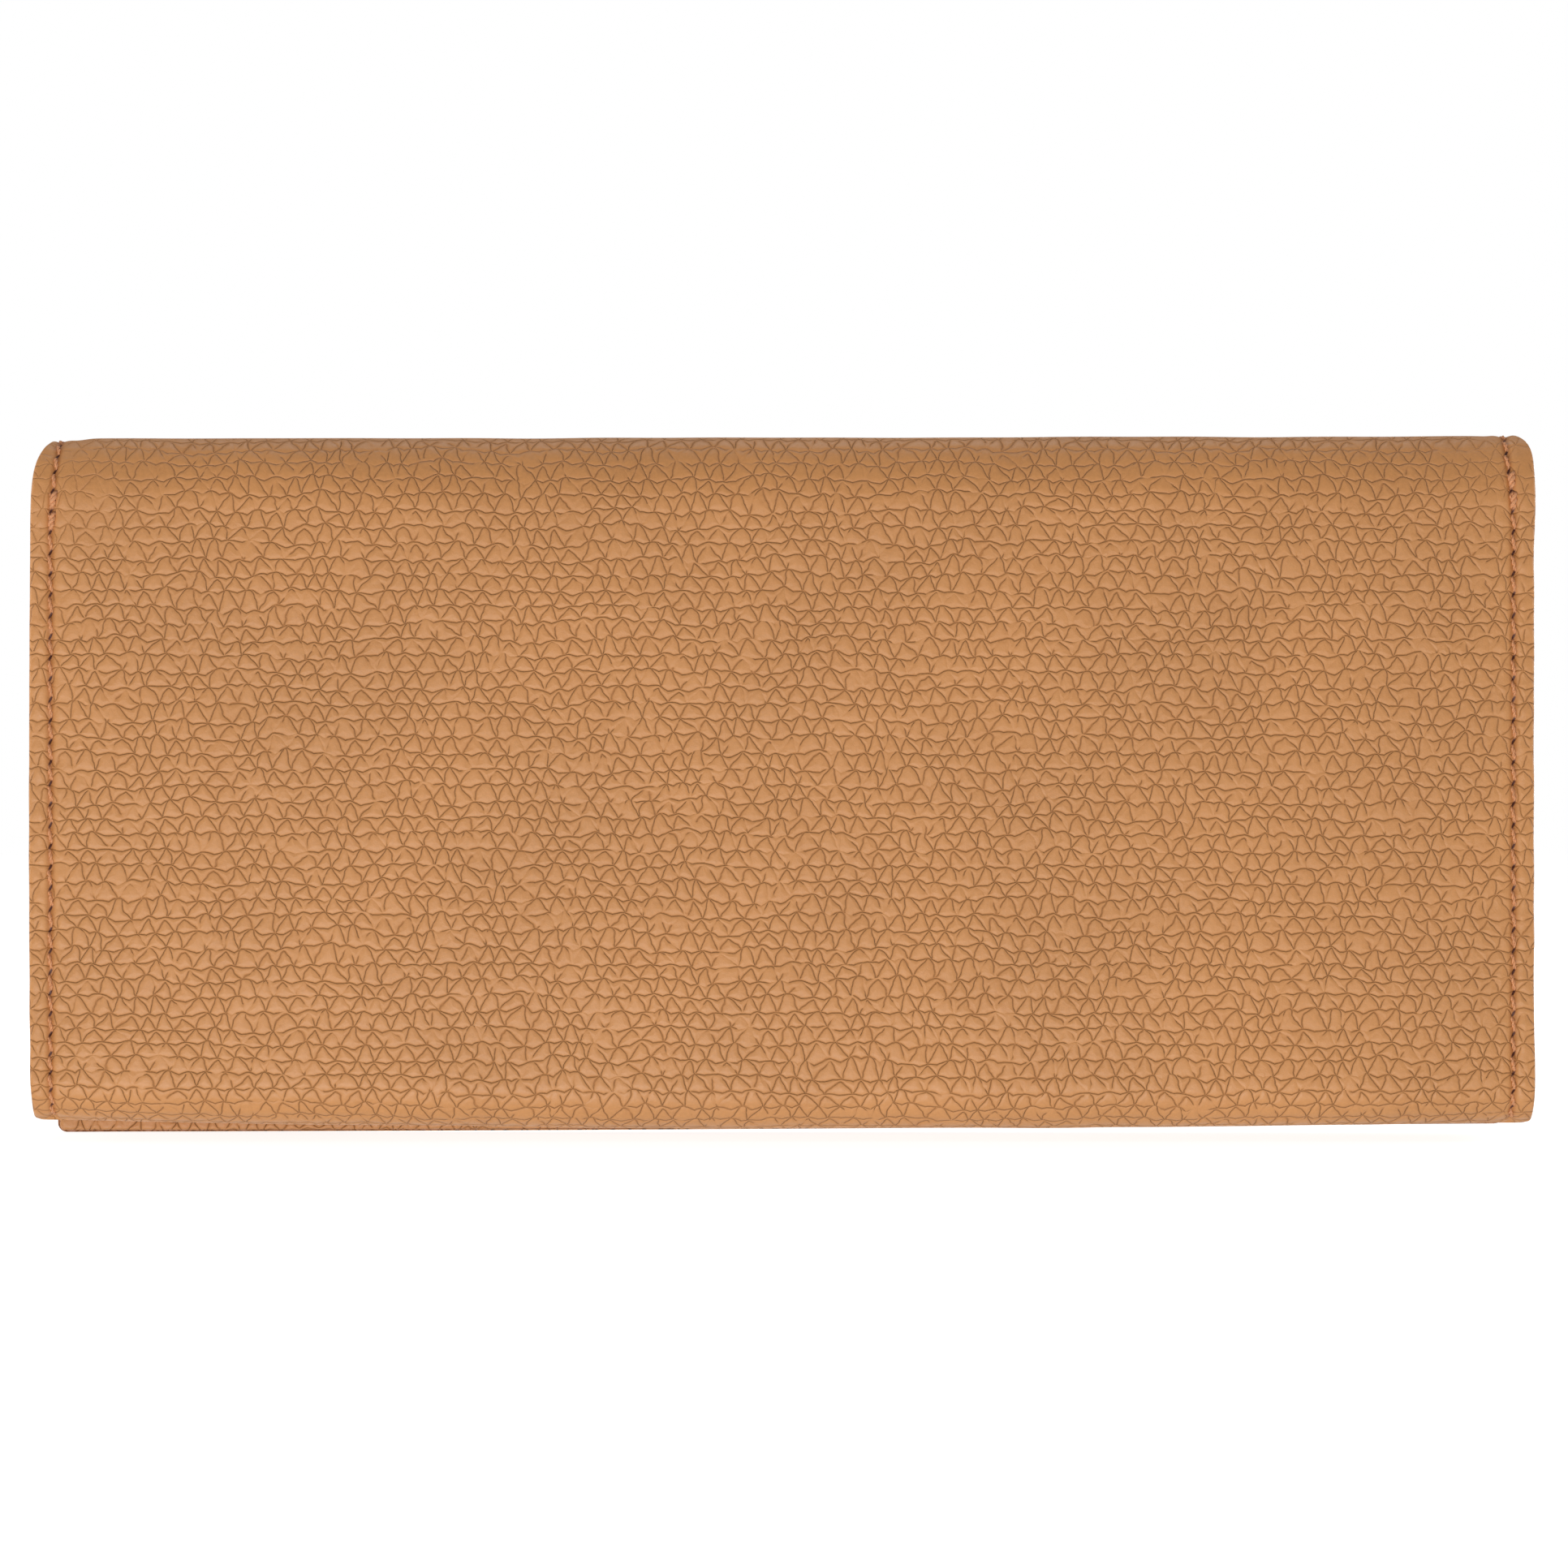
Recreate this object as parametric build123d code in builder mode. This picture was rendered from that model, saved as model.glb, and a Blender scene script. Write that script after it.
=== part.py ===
from build123d import *
import os
from math import cos, radians, sin

# A long flap wallet in pebbled leather, standing on its base as if in a hand: X across its width,
# Y through its thickness with the plain back towards -Y and the flap towards +Y, Z up to the fold.
# The origin is under the middle of the box, at the height of the flap's free edge.
# The back, spine and flap are one skin in use. Each is a piece of its own here, parted at the middle
# of each top corner, where the skin bends, so that the three can turn about those two lines.

# ---- driving sizes, in millimetres ----
WIDTH = 190.0             # the back, across its seam margins
HEIGHT = 89.4             # the flap's free edge to the top fold
BASE_Z = 1.5              # the base, a little above the flap's free edge
LEATHER = 1.1
LINING = 1.0
BOARD = 0.5               # stiffening board, let into the linings
ROLL = 6.0                # outer radius of the soft rolls at the top and at the back of the base
TOE = 4.0                 # outer radius at the front of the base
BILL_GAP = 4.3            # each banknote compartment
CARD_PANEL = 0.5
CARD_STRIP = 0.4          # each layer of the card pockets
CARD_CLEAR = 0.4          # between the card pockets and the coin pocket
COIN_WALL = 0.6
COIN_GAP = 5.0
SNAP_GAP = 0.8            # between the front wall and the closed flap
SPLIT = 1.6               # degrees that each sheet stops short of the middle of a corner

SPINE_WIDTH = 186.0
FLAP_WIDTH = 188.0
FRONT_WIDTH = 188.0
BANK_WIDTH = 185.6        # card pockets and coin pocket
LINING_INSET = 0.3        # how far a lining stays inside its leather's edge
INNER_TOP = 80.0          # top edges of the front wall, card panel and gussets
CARD_TOPS = [77.0, 68.0, 59.0, 50.0]    # the card pockets' mouths, rear to front
COIN_BASE = 5.0
COIN_TOP = 66.0

# ---- where each layer lies, from the back to the flap ----
BACK_LEATHER_Y = -12.2
BACK_LINING_Y = BACK_LEATHER_Y + LEATHER
CARD_PANEL_Y = BACK_LINING_Y + LINING + BILL_GAP
CARDS_Y = CARD_PANEL_Y + CARD_PANEL
COIN_BACK_Y = CARDS_Y + len(CARD_TOPS) * CARD_STRIP + CARD_CLEAR
COIN_INNER_Y = COIN_BACK_Y + COIN_WALL
COIN_FRONT_Y = COIN_INNER_Y + COIN_GAP
COIN_FACE_Y = COIN_FRONT_Y + COIN_WALL
FRONT_INNER_Y = COIN_FACE_Y + BILL_GAP
FRONT_LEATHER_Y = FRONT_INNER_Y + LINING
FRONT_FACE_Y = FRONT_LEATHER_Y + LEATHER
FLAP_INNER_Y = FRONT_FACE_Y + SNAP_GAP
FLAP_LEATHER_Y = FLAP_INNER_Y + LINING
FLAP_FACE_Y = FLAP_LEATHER_Y + LEATHER
THICK = FLAP_FACE_Y - BACK_LEATHER_Y

# ---- corner centres, as (y, z) ----
TOP_BACK = (BACK_LEATHER_Y + ROLL, HEIGHT - ROLL)
TOP_FRONT = (FLAP_FACE_Y - ROLL, HEIGHT - ROLL)
BASE_BACK = (BACK_LEATHER_Y + ROLL, BASE_Z + ROLL)
BASE_FRONT = (FRONT_FACE_Y - TOE, BASE_Z + TOE)
FLOOR_Z = BASE_Z + LEATHER + LINING     # the top of the base lining, inside

# ---- seams ----
PITCH = 2.65              # one stitch to the next
STITCH = 2.1              # length of a stitch
THREAD = 0.45             # thread diameter
GROOVE_WIDE = 0.8
GROOVE_DEEP = 0.5
BACK_SEAM_X = 92.5
SPINE_SEAM_X = 91.9
FLAP_SEAM_X = 91.65
FLAP_SEAM_Z = 2.4
FRONT_SEAM_TOP = 77.6
INNER_THREAD = 0.24
INNER_GROOVE = 0.35
COIN_SEAM_X = 91.2
ZIP_SEAM_Z = 61.5

# ---- snap fastener, on the wallet's middle line ----
SNAP_Z = 16.0
SNAP_CAP = 13.0
SNAP_SOCKET = 11.0
SNAP_FLANGE = 9.5
SNAP_PRESSED = 0.35       # thickness of the pressed sheet brass
SNAP_HEAD = 4.6
SNAP_NECK = 3.4
SNAP_CAVITY = 6.0
SNAP_BORE = 2.8
SNAP_SHANK = 2.6

# ---- zip ----
TAPE = 0.5
TAPE_BOTTOM = 58.0
TAPE_TOP = COIN_TOP + TAPE
ZIP_Y = (COIN_INNER_Y + COIN_FRONT_Y) / 2
TOOTH_PITCH = 1.3
TOOTH = (0.6, 1.25, 1.6)
TOOTH_GAP = 0.6
TEETH_LEFT = -79.0
TEETH_RIGHT = 77.4
STOP_LONG = 1.4
SLIDER_X = 74.0
SLIDER_LONG = 7.0
SLIDER_PLATE = 0.6
SLIDER_WIDE = 4.0
SLIDER_CLEAR = 0.2        # between the slider's plates and the teeth
BAR_RISE = 1.3            # from the slider's top to the middle of the bar that the puller hangs on
BAR = 1.0
PULLER_LONG = 12.0
PULLER_WIDE = 3.6
PULLER_THICK = 0.8


# ---- paths of the bent sheets, as (y, z); depth is from the outer face to the sheet's middle ----
def back_path(depth):
    """Down from the top back corner, round the base and up to the middle of the front base corner."""
    CenterArc(TOP_BACK, ROLL - depth, 135 + SPLIT, 45 - SPLIT)
    Line((BACK_LEATHER_Y + depth, TOP_BACK[1]), (BACK_LEATHER_Y + depth, BASE_BACK[1]))
    CenterArc(BASE_BACK, ROLL - depth, 180, 90)
    Line((BASE_BACK[0], BASE_Z + depth), (BASE_FRONT[0], BASE_Z + depth))
    CenterArc(BASE_FRONT, TOE - depth, 270, 45 - SPLIT)


def spine_path(depth):
    """Over the top, from the middle of one corner to the middle of the other."""
    CenterArc(TOP_BACK, ROLL - depth, 90, 45 - SPLIT)
    Line((TOP_BACK[0], HEIGHT - depth), (TOP_FRONT[0], HEIGHT - depth))
    CenterArc(TOP_FRONT, ROLL - depth, 45 + SPLIT, 45 - SPLIT)


def flap_path(depth):
    """From the middle of the top front corner down to the flap's free edge."""
    CenterArc(TOP_FRONT, ROLL - depth, 0, 45 - SPLIT)
    Line((FLAP_FACE_Y - depth, TOP_FRONT[1]), (FLAP_FACE_Y - depth, 0))


def front_path(depth):
    """From the middle of the front base corner up to the front wall's top edge."""
    CenterArc(BASE_FRONT, TOE - depth, 315 + SPLIT, 45 - SPLIT)
    Line((FRONT_FACE_Y - depth, BASE_FRONT[1]), (FRONT_FACE_Y - depth, INNER_TOP))


def section(path, outside, thickness):
    """The sheet's section, on the YZ plane; outside is how deep its outer face lies."""
    with BuildSketch(Plane.YZ) as sheet:
        with BuildLine():
            path(outside + thickness / 2)
        trace(line_width=thickness)
    return sheet.sketch


# ---- outlines of the sheets, on the XZ plane ----
def back_outline(inset):
    """Seam margins that draw in towards the fold and stop above the base."""
    half = WIDTH / 2 - inset
    waist = 92.4 - inset
    margin_z = BASE_Z + 1.2
    draw_in = 78.0
    fold = SPINE_WIDTH / 2 - inset
    with BuildSketch(Plane.XZ) as outline:
        with BuildLine() as edge:
            Line((0, BASE_Z), (waist, BASE_Z))
            Line((waist, BASE_Z), (waist, margin_z))
            Line((waist, margin_z), (half - 1, margin_z))
            RadiusArc((half - 1, margin_z), (half, margin_z + 1), -1)
            Line((half, margin_z + 1), (half, draw_in))
            TangentArc((half, draw_in), (fold, HEIGHT), tangent=(0, 1))
            Line((fold, HEIGHT), (0, HEIGHT))
            mirror(edge.line, about=Plane.YZ)
        make_face()
    return outline.sketch


def flap_outline(inset):
    """Straight sides that narrow a little at the fold, and small free corners."""
    half = FLAP_WIDTH / 2 - inset
    fold = SPINE_WIDTH / 2 - inset
    with BuildSketch(Plane.XZ) as outline:
        with BuildLine() as edge:
            Line((0, inset), (half - 1.2, inset))
            RadiusArc((half - 1.2, inset), (half, inset + 1.2), -1.2)
            Line((half, inset + 1.2), (half, INNER_TOP))
            Line((half, INNER_TOP), (fold, HEIGHT))
            Line((fold, HEIGHT), (0, HEIGHT))
            mirror(edge.line, about=Plane.YZ)
        make_face()
    return outline.sketch


def front_outline(inset):
    """The front wall, with small round corners at its top edge."""
    half = FRONT_WIDTH / 2 - inset
    top = INNER_TOP - inset
    with BuildSketch(Plane.XZ) as outline:
        with BuildLine() as edge:
            Line((0, BASE_Z), (half, BASE_Z))
            Line((half, BASE_Z), (half, top - 2))
            RadiusArc((half, top - 2), (half - 2, top), -2)
            Line((half - 2, top), (0, top))
            mirror(edge.line, about=Plane.YZ)
        make_face()
    return outline.sketch


# ---- small shapes that many pieces share ----
def slab(width, rear, front, low, high, mode=Mode.ADD):
    """A flat panel about the middle line, from y = rear to y = front and z = low to z = high."""
    with Locations((0, (rear + front) / 2, (low + high) / 2)):
        Box(width, front - rear, high - low, mode=mode)


def disc(diameter, rear, front, mode=Mode.ADD):
    """A round plate of the snap fastener, square to Y."""
    with Locations((0, (rear + front) / 2, SNAP_Z)):
        Cylinder(diameter / 2, front - rear, rotation=(90, 0, 0), mode=mode)


def steps(start, end):
    """The middles of the stitches that fit between start and end, evenly about the middle."""
    count = int((end - start) / PITCH)
    first = (start + end - (count - 1) * PITCH) / 2
    return [first + i * PITCH for i in range(count)]


def upright_stitches(x, y, start, end, thread=THREAD):
    """A line of stitches that runs up."""
    with Locations(*[(x, y, z) for z in steps(start, end)]):
        Cylinder(thread / 2, STITCH)


def level_stitches(y, z, start, end, thread=THREAD):
    """A line of stitches that runs across the width."""
    with Locations(*[(x, y, z) for x in steps(start, end)]):
        Cylinder(thread / 2, STITCH, rotation=(0, 90, 0))


def groove(centre, size):
    """The channel that a line of stitches is sunk into."""
    with Locations(centre):
        Box(*size, mode=Mode.SUBTRACT)


def finish(builder, name):
    """Label the finished piece and write it to its own file."""
    builder.part.label = name
    export_step(builder.part, f"parts/{name}.step")


os.makedirs("parts", exist_ok=True)

SEAM_DEPTH = GROOVE_DEEP / 2          # the stitches' middle line, under the leather's face
SEAM_LOW = BASE_BACK[1]
SEAM_HIGH = TOP_BACK[1]
SEAM_MID = (SEAM_LOW + SEAM_HIGH) / 2
SEAM_LONG = SEAM_HIGH - SEAM_LOW
SPINE_SEAM_LONG = TOP_FRONT[0] - TOP_BACK[0]
FRONT_SEAM_LOW = BASE_FRONT[1] + 1

# ---- back: leather, board and lining ----
with BuildPart() as back_leather:
    extrude(section(back_path, 0, LEATHER), amount=WIDTH / 2, both=True)
    extrude(back_outline(0), amount=THICK, both=True, mode=Mode.INTERSECT)
    for side in (-1, 1):
        groove((side * BACK_SEAM_X, BACK_LEATHER_Y, SEAM_MID), (GROOVE_WIDE, 2 * GROOVE_DEEP, SEAM_LONG))
finish(back_leather, "back_leather")

BOARD_WIDTH = 176.0
BACK_BOARD_Z = (BASE_BACK[1] + 1, TOP_BACK[1] - 1)
with BuildPart() as back_lining:
    extrude(section(back_path, LEATHER, LINING), amount=WIDTH / 2, both=True)
    extrude(back_outline(LINING_INSET), amount=THICK, both=True, mode=Mode.INTERSECT)
    slab(BOARD_WIDTH, BACK_LINING_Y, BACK_LINING_Y + BOARD, *BACK_BOARD_Z, mode=Mode.SUBTRACT)
finish(back_lining, "back_lining")

with BuildPart() as back_stiffener:
    slab(BOARD_WIDTH, BACK_LINING_Y, BACK_LINING_Y + BOARD, *BACK_BOARD_Z)
finish(back_stiffener, "back_stiffener")

for name, side in (("back_seam_left", -1), ("back_seam_right", 1)):
    with BuildPart() as back_seam:
        upright_stitches(side * BACK_SEAM_X, BACK_LEATHER_Y + SEAM_DEPTH, SEAM_LOW, SEAM_HIGH)
    finish(back_seam, name)

# ---- spine, over the top ----
with BuildPart() as spine_leather:
    extrude(section(spine_path, 0, LEATHER), amount=SPINE_WIDTH / 2, both=True)
    for side in (-1, 1):
        groove((side * SPINE_SEAM_X, 0, HEIGHT), (GROOVE_WIDE, SPINE_SEAM_LONG, 2 * GROOVE_DEEP))
finish(spine_leather, "spine_leather")

with BuildPart() as spine_lining:
    extrude(section(spine_path, LEATHER, LINING), amount=SPINE_WIDTH / 2 - LINING_INSET, both=True)
finish(spine_lining, "spine_lining")

with BuildPart() as spine_seam:
    for side in (-1, 1):
        x = side * SPINE_SEAM_X
        z = HEIGHT - SEAM_DEPTH
        with Locations(*[(x, y, z) for y in steps(TOP_BACK[0], TOP_FRONT[0])]):
            Cylinder(THREAD / 2, STITCH, rotation=(90, 0, 0))
finish(spine_seam, "spine_seam")

# ---- flap: leather, board and lining, with the snap's cap let in between them ----
FLAP_BOARD_Z = (6.0, TOP_FRONT[1] - 1)
CAP_RECESS = 0.45
with BuildPart() as flap_leather:
    extrude(section(flap_path, 0, LEATHER), amount=FLAP_WIDTH / 2, both=True)
    extrude(flap_outline(0), amount=THICK, both=True, mode=Mode.INTERSECT)
    disc(SNAP_CAP + 0.4, FLAP_LEATHER_Y, FLAP_LEATHER_Y + CAP_RECESS, mode=Mode.SUBTRACT)
    flap_seam_mid = (FLAP_SEAM_Z + SEAM_HIGH) / 2
    for side in (-1, 1):
        groove(
            (side * FLAP_SEAM_X, FLAP_FACE_Y, flap_seam_mid),
            (GROOVE_WIDE, 2 * GROOVE_DEEP, SEAM_HIGH - FLAP_SEAM_Z + GROOVE_WIDE),
        )
    groove((0, FLAP_FACE_Y, FLAP_SEAM_Z), (2 * FLAP_SEAM_X, 2 * GROOVE_DEEP, GROOVE_WIDE))
finish(flap_leather, "flap_leather")

SOCKET_HOLE = SNAP_SOCKET + 0.6
with BuildPart() as flap_lining:
    extrude(section(flap_path, LEATHER, LINING), amount=FLAP_WIDTH / 2, both=True)
    extrude(flap_outline(LINING_INSET), amount=THICK, both=True, mode=Mode.INTERSECT)
    slab(BOARD_WIDTH, FLAP_LEATHER_Y - BOARD, FLAP_LEATHER_Y, *FLAP_BOARD_Z, mode=Mode.SUBTRACT)
    disc(SOCKET_HOLE, FLAP_INNER_Y, FLAP_LEATHER_Y, mode=Mode.SUBTRACT)
finish(flap_lining, "flap_lining")

with BuildPart() as flap_stiffener:
    slab(BOARD_WIDTH, FLAP_LEATHER_Y - BOARD, FLAP_LEATHER_Y, *FLAP_BOARD_Z)
    disc(SOCKET_HOLE, FLAP_LEATHER_Y - BOARD, FLAP_LEATHER_Y, mode=Mode.SUBTRACT)
finish(flap_stiffener, "flap_stiffener")

with BuildPart() as flap_seam:
    seam_y = FLAP_FACE_Y - SEAM_DEPTH
    for side in (-1, 1):
        upright_stitches(side * FLAP_SEAM_X, seam_y, FLAP_SEAM_Z + 1, SEAM_HIGH)
    level_stitches(seam_y, FLAP_SEAM_Z, 1 - FLAP_SEAM_X, FLAP_SEAM_X - 1)
finish(flap_seam, "flap_seam")

# ---- front wall: leather, board and lining ----
FRONT_BOARD_Z = (BASE_FRONT[1] + 2, INNER_TOP - 5)
with BuildPart() as front_leather:
    extrude(section(front_path, 0, LEATHER), amount=FRONT_WIDTH / 2, both=True)
    extrude(front_outline(0), amount=THICK, both=True, mode=Mode.INTERSECT)
    disc(SNAP_BORE, FRONT_LEATHER_Y, FRONT_FACE_Y, mode=Mode.SUBTRACT)
    front_seam_mid = (FRONT_SEAM_LOW + FRONT_SEAM_TOP) / 2
    for side in (-1, 1):
        groove(
            (side * FLAP_SEAM_X, FRONT_FACE_Y, front_seam_mid),
            (GROOVE_WIDE, 2 * GROOVE_DEEP, FRONT_SEAM_TOP - FRONT_SEAM_LOW + GROOVE_WIDE),
        )
    groove((0, FRONT_FACE_Y, FRONT_SEAM_TOP), (2 * FLAP_SEAM_X, 2 * GROOVE_DEEP, GROOVE_WIDE))
finish(front_leather, "front_leather")

with BuildPart() as front_lining:
    extrude(section(front_path, LEATHER, LINING), amount=FRONT_WIDTH / 2, both=True)
    extrude(front_outline(LINING_INSET), amount=THICK, both=True, mode=Mode.INTERSECT)
    slab(BOARD_WIDTH, FRONT_LEATHER_Y - BOARD, FRONT_LEATHER_Y, *FRONT_BOARD_Z, mode=Mode.SUBTRACT)
finish(front_lining, "front_lining")

POST_HOLE = SNAP_FLANGE + 0.5
with BuildPart() as front_stiffener:
    slab(BOARD_WIDTH, FRONT_LEATHER_Y - BOARD, FRONT_LEATHER_Y, *FRONT_BOARD_Z)
    disc(POST_HOLE, FRONT_LEATHER_Y - BOARD, FRONT_LEATHER_Y, mode=Mode.SUBTRACT)
finish(front_stiffener, "front_stiffener")

with BuildPart() as front_seam:
    seam_y = FRONT_FACE_Y - SEAM_DEPTH
    for side in (-1, 1):
        upright_stitches(side * FLAP_SEAM_X, seam_y, FRONT_SEAM_LOW, FRONT_SEAM_TOP - 1)
    level_stitches(seam_y, FRONT_SEAM_TOP, 1 - FLAP_SEAM_X, FLAP_SEAM_X - 1)
finish(front_seam, "front_seam")

# ---- snap fastener: cap and socket in the flap, stud and its rivet in the front wall ----
PLATE = 0.25
with BuildPart() as snap_cap:
    disc(SNAP_CAP, FLAP_LEATHER_Y, FLAP_LEATHER_Y + CAP_RECESS - 0.05)
    disc(SNAP_SHANK, FLAP_LEATHER_Y - PLATE, FLAP_LEATHER_Y)
finish(snap_cap, "snap_cap")

with BuildPart() as snap_socket:
    disc(SNAP_SOCKET, FLAP_INNER_Y, FLAP_LEATHER_Y)
    disc(SNAP_CAVITY, FLAP_INNER_Y, FLAP_LEATHER_Y - PLATE, mode=Mode.SUBTRACT)
    disc(SNAP_BORE, FLAP_LEATHER_Y - PLATE, FLAP_LEATHER_Y, mode=Mode.SUBTRACT)
finish(snap_socket, "snap_socket")

STUD_TOP = FLAP_LEATHER_Y - PLATE - 0.1
STUD_HEAD_LONG = 0.45
with BuildPart() as snap_stud:
    disc(SNAP_FLANGE, FRONT_FACE_Y, FRONT_FACE_Y + SNAP_PRESSED)
    disc(SNAP_NECK, FRONT_FACE_Y, STUD_TOP)
    disc(SNAP_HEAD, STUD_TOP - STUD_HEAD_LONG, STUD_TOP)
    disc(SNAP_BORE, FRONT_FACE_Y, STUD_TOP - STUD_HEAD_LONG, mode=Mode.SUBTRACT)
finish(snap_stud, "snap_stud")

with BuildPart() as snap_post:
    disc(SNAP_FLANGE, FRONT_LEATHER_Y - SNAP_PRESSED, FRONT_LEATHER_Y)
    disc(SNAP_SHANK, FRONT_LEATHER_Y, STUD_TOP - STUD_HEAD_LONG - 0.1)
finish(snap_post, "snap_post")

# ---- side gussets: each folds inwards in both banknote compartments ----
GUSSET = 0.6
GUSSET_LOW = FLOOR_Z + 0.1
CORNER_CLEAR = 0.3        # how much rounder the gussets' lower corners are than the linings' bends
BANK_HALF = BANK_WIDTH / 2
GUSSET_FOLD = 86.0
GUSSET_SIDE = BANK_HALF + 0.8
REAR_FOLD_Y = (BACK_LINING_Y + LINING + CARD_PANEL_Y) / 2
FRONT_FOLD_Y = (COIN_FACE_Y + FRONT_INNER_Y) / 2
REAR_FLANGE_Y = BACK_LINING_Y + LINING + GUSSET / 2
FRONT_FLANGE_Y = FRONT_INNER_Y - GUSSET / 2
GUSSET_LINE = [
    (94.2, REAR_FLANGE_Y),
    (88.5, REAR_FLANGE_Y),
    (GUSSET_FOLD, REAR_FOLD_Y),
    (GUSSET_SIDE, CARD_PANEL_Y - 0.6),
    (GUSSET_SIDE, COIN_FACE_Y + 0.3),
    (GUSSET_FOLD, FRONT_FOLD_Y),
    (88.5, FRONT_FLANGE_Y),
    (93.4, FRONT_FLANGE_Y),
]
with BuildSketch(Plane.YZ) as inside:
    inside_rear = BACK_LINING_Y + LINING
    with Locations(((inside_rear + FRONT_INNER_Y) / 2, (GUSSET_LOW + INNER_TOP) / 2)):
        Rectangle(FRONT_INNER_Y - inside_rear, INNER_TOP - GUSSET_LOW)
    low_rear = inside.vertices().group_by(Axis.Y)[0].sort_by(Axis.X)[0]
    fillet(low_rear, ROLL - LEATHER - LINING + CORNER_CLEAR)
    low_front = inside.vertices().group_by(Axis.Y)[0].sort_by(Axis.X)[-1]
    fillet(low_front, TOE - LEATHER - LINING + CORNER_CLEAR)

for name, side in (("gusset_left", -1), ("gusset_right", 1)):
    with BuildPart() as gusset:
        with BuildSketch(Plane.XY.offset(GUSSET_LOW)):
            with BuildLine():
                Polyline(*[(side * x, y) for x, y in GUSSET_LINE])
            trace(line_width=GUSSET)
        extrude(amount=INNER_TOP - GUSSET_LOW)
        extrude(inside.sketch, amount=WIDTH / 2, both=True, mode=Mode.INTERSECT)
    finish(gusset, name)

# ---- card pockets: a panel and four strips, each mouth lower than the one behind ----
BANK_LOW = FLOOR_Z + 0.2
with BuildPart() as card_panel:
    slab(BANK_WIDTH, CARD_PANEL_Y, CARDS_Y, BANK_LOW, INNER_TOP)
finish(card_panel, "card_panel")

for number, top in enumerate(CARD_TOPS):
    strip_y = CARDS_Y + number * CARD_STRIP
    with BuildPart() as card_pocket:
        slab(BANK_WIDTH, strip_y, strip_y + CARD_STRIP, BANK_LOW, top)
    finish(card_pocket, f"card_pocket_{number + 1}")

# The middle seam parts the pockets into two columns and steps forward from strip to strip.
with BuildPart() as card_seam:
    card_levels = CARD_TOPS + [BANK_LOW + 1]
    for number in range(len(CARD_TOPS)):
        seam_y = CARDS_Y + (number + 1) * CARD_STRIP + INNER_THREAD / 2
        upright_stitches(0, seam_y, card_levels[number + 1], card_levels[number], INNER_THREAD)
finish(card_seam, "card_seam")

# ---- coin pocket: two walls and the strip round their sides and bottom ----
COIN_SEAM_LOW = COIN_BASE + 2
INNER_DEPTH = 0.2                     # the coin seams' middle line, under the wall's face
with BuildPart() as coin_pocket_back:
    slab(BANK_WIDTH, COIN_BACK_Y, COIN_INNER_Y, COIN_BASE, COIN_TOP)
finish(coin_pocket_back, "coin_pocket_back")

with BuildPart() as coin_pocket_front:
    slab(BANK_WIDTH, COIN_FRONT_Y, COIN_FACE_Y, COIN_BASE, COIN_TOP)
    for side in (-1, 1):
        groove(
            (side * COIN_SEAM_X, COIN_FACE_Y, (COIN_SEAM_LOW + ZIP_SEAM_Z) / 2),
            (0.5, 2 * INNER_GROOVE, ZIP_SEAM_Z - COIN_SEAM_LOW),
        )
    groove((0, COIN_FACE_Y, ZIP_SEAM_Z), (2 * COIN_SEAM_X + 0.5, 2 * INNER_GROOVE, 0.5))
finish(coin_pocket_front, "coin_pocket_front")

with BuildPart() as coin_pocket_gusset:
    with BuildSketch(Plane.XZ.offset(-COIN_INNER_Y)):
        with BuildLine():
            strip_x = BANK_HALF - COIN_WALL / 2
            strip_z = COIN_BASE + COIN_WALL / 2
            Polyline((-strip_x, COIN_TOP), (-strip_x, strip_z), (strip_x, strip_z), (strip_x, COIN_TOP))
        trace(line_width=COIN_WALL)
    extrude(amount=-COIN_GAP)
finish(coin_pocket_gusset, "coin_pocket_gusset")

with BuildPart() as coin_seam:
    for side in (-1, 1):
        upright_stitches(
            side * COIN_SEAM_X, COIN_FACE_Y - INNER_DEPTH, COIN_SEAM_LOW, ZIP_SEAM_Z - 1, INNER_THREAD
        )
finish(coin_seam, "coin_seam")

with BuildPart() as zip_seam:
    level_stitches(COIN_FACE_Y - INNER_DEPTH, ZIP_SEAM_Z, -COIN_SEAM_X, COIN_SEAM_X, INNER_THREAD)
finish(zip_seam, "zip_seam")

# ---- zip: two tapes with their teeth, the end stops, the slider and its puller ----
# A straight slot stays between the two rows of teeth, so that the slider's post can run along it.
TAPE_WIDTH = 182.0
ROW_INNER = TOOTH_GAP / 2
ROW_OUTER = ROW_INNER + TOOTH[1]
TOOTH_Z = COIN_TOP + TAPE / 2
TEETH_COUNT = int((TEETH_RIGHT - TEETH_LEFT) / TOOTH_PITCH)
for name, side in (("back", -1), ("front", 1)):
    wall_y = ZIP_Y + side * COIN_GAP / 2
    fold_y = wall_y - side * TAPE
    row_y = ZIP_Y + side * ROW_OUTER
    with BuildPart() as zip_tape:
        slab(TAPE_WIDTH, min(wall_y, fold_y), max(wall_y, fold_y), TAPE_BOTTOM, TAPE_TOP)
        slab(TAPE_WIDTH, min(wall_y, row_y), max(wall_y, row_y), COIN_TOP, TAPE_TOP)
    finish(zip_tape, f"zip_tape_{name}")

    # The front row stands half a pitch along from the back row, as meshing teeth do.
    first_x = TEETH_LEFT + (1 + side) * TOOTH_PITCH / 4
    tooth_y = ZIP_Y + side * (ROW_INNER + ROW_OUTER) / 2
    with BuildPart() as zip_teeth:
        with Locations(*[(first_x + i * TOOTH_PITCH, tooth_y, TOOTH_Z) for i in range(TEETH_COUNT)]):
            Box(*TOOTH)
    finish(zip_teeth, f"zip_teeth_{name}")

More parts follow.
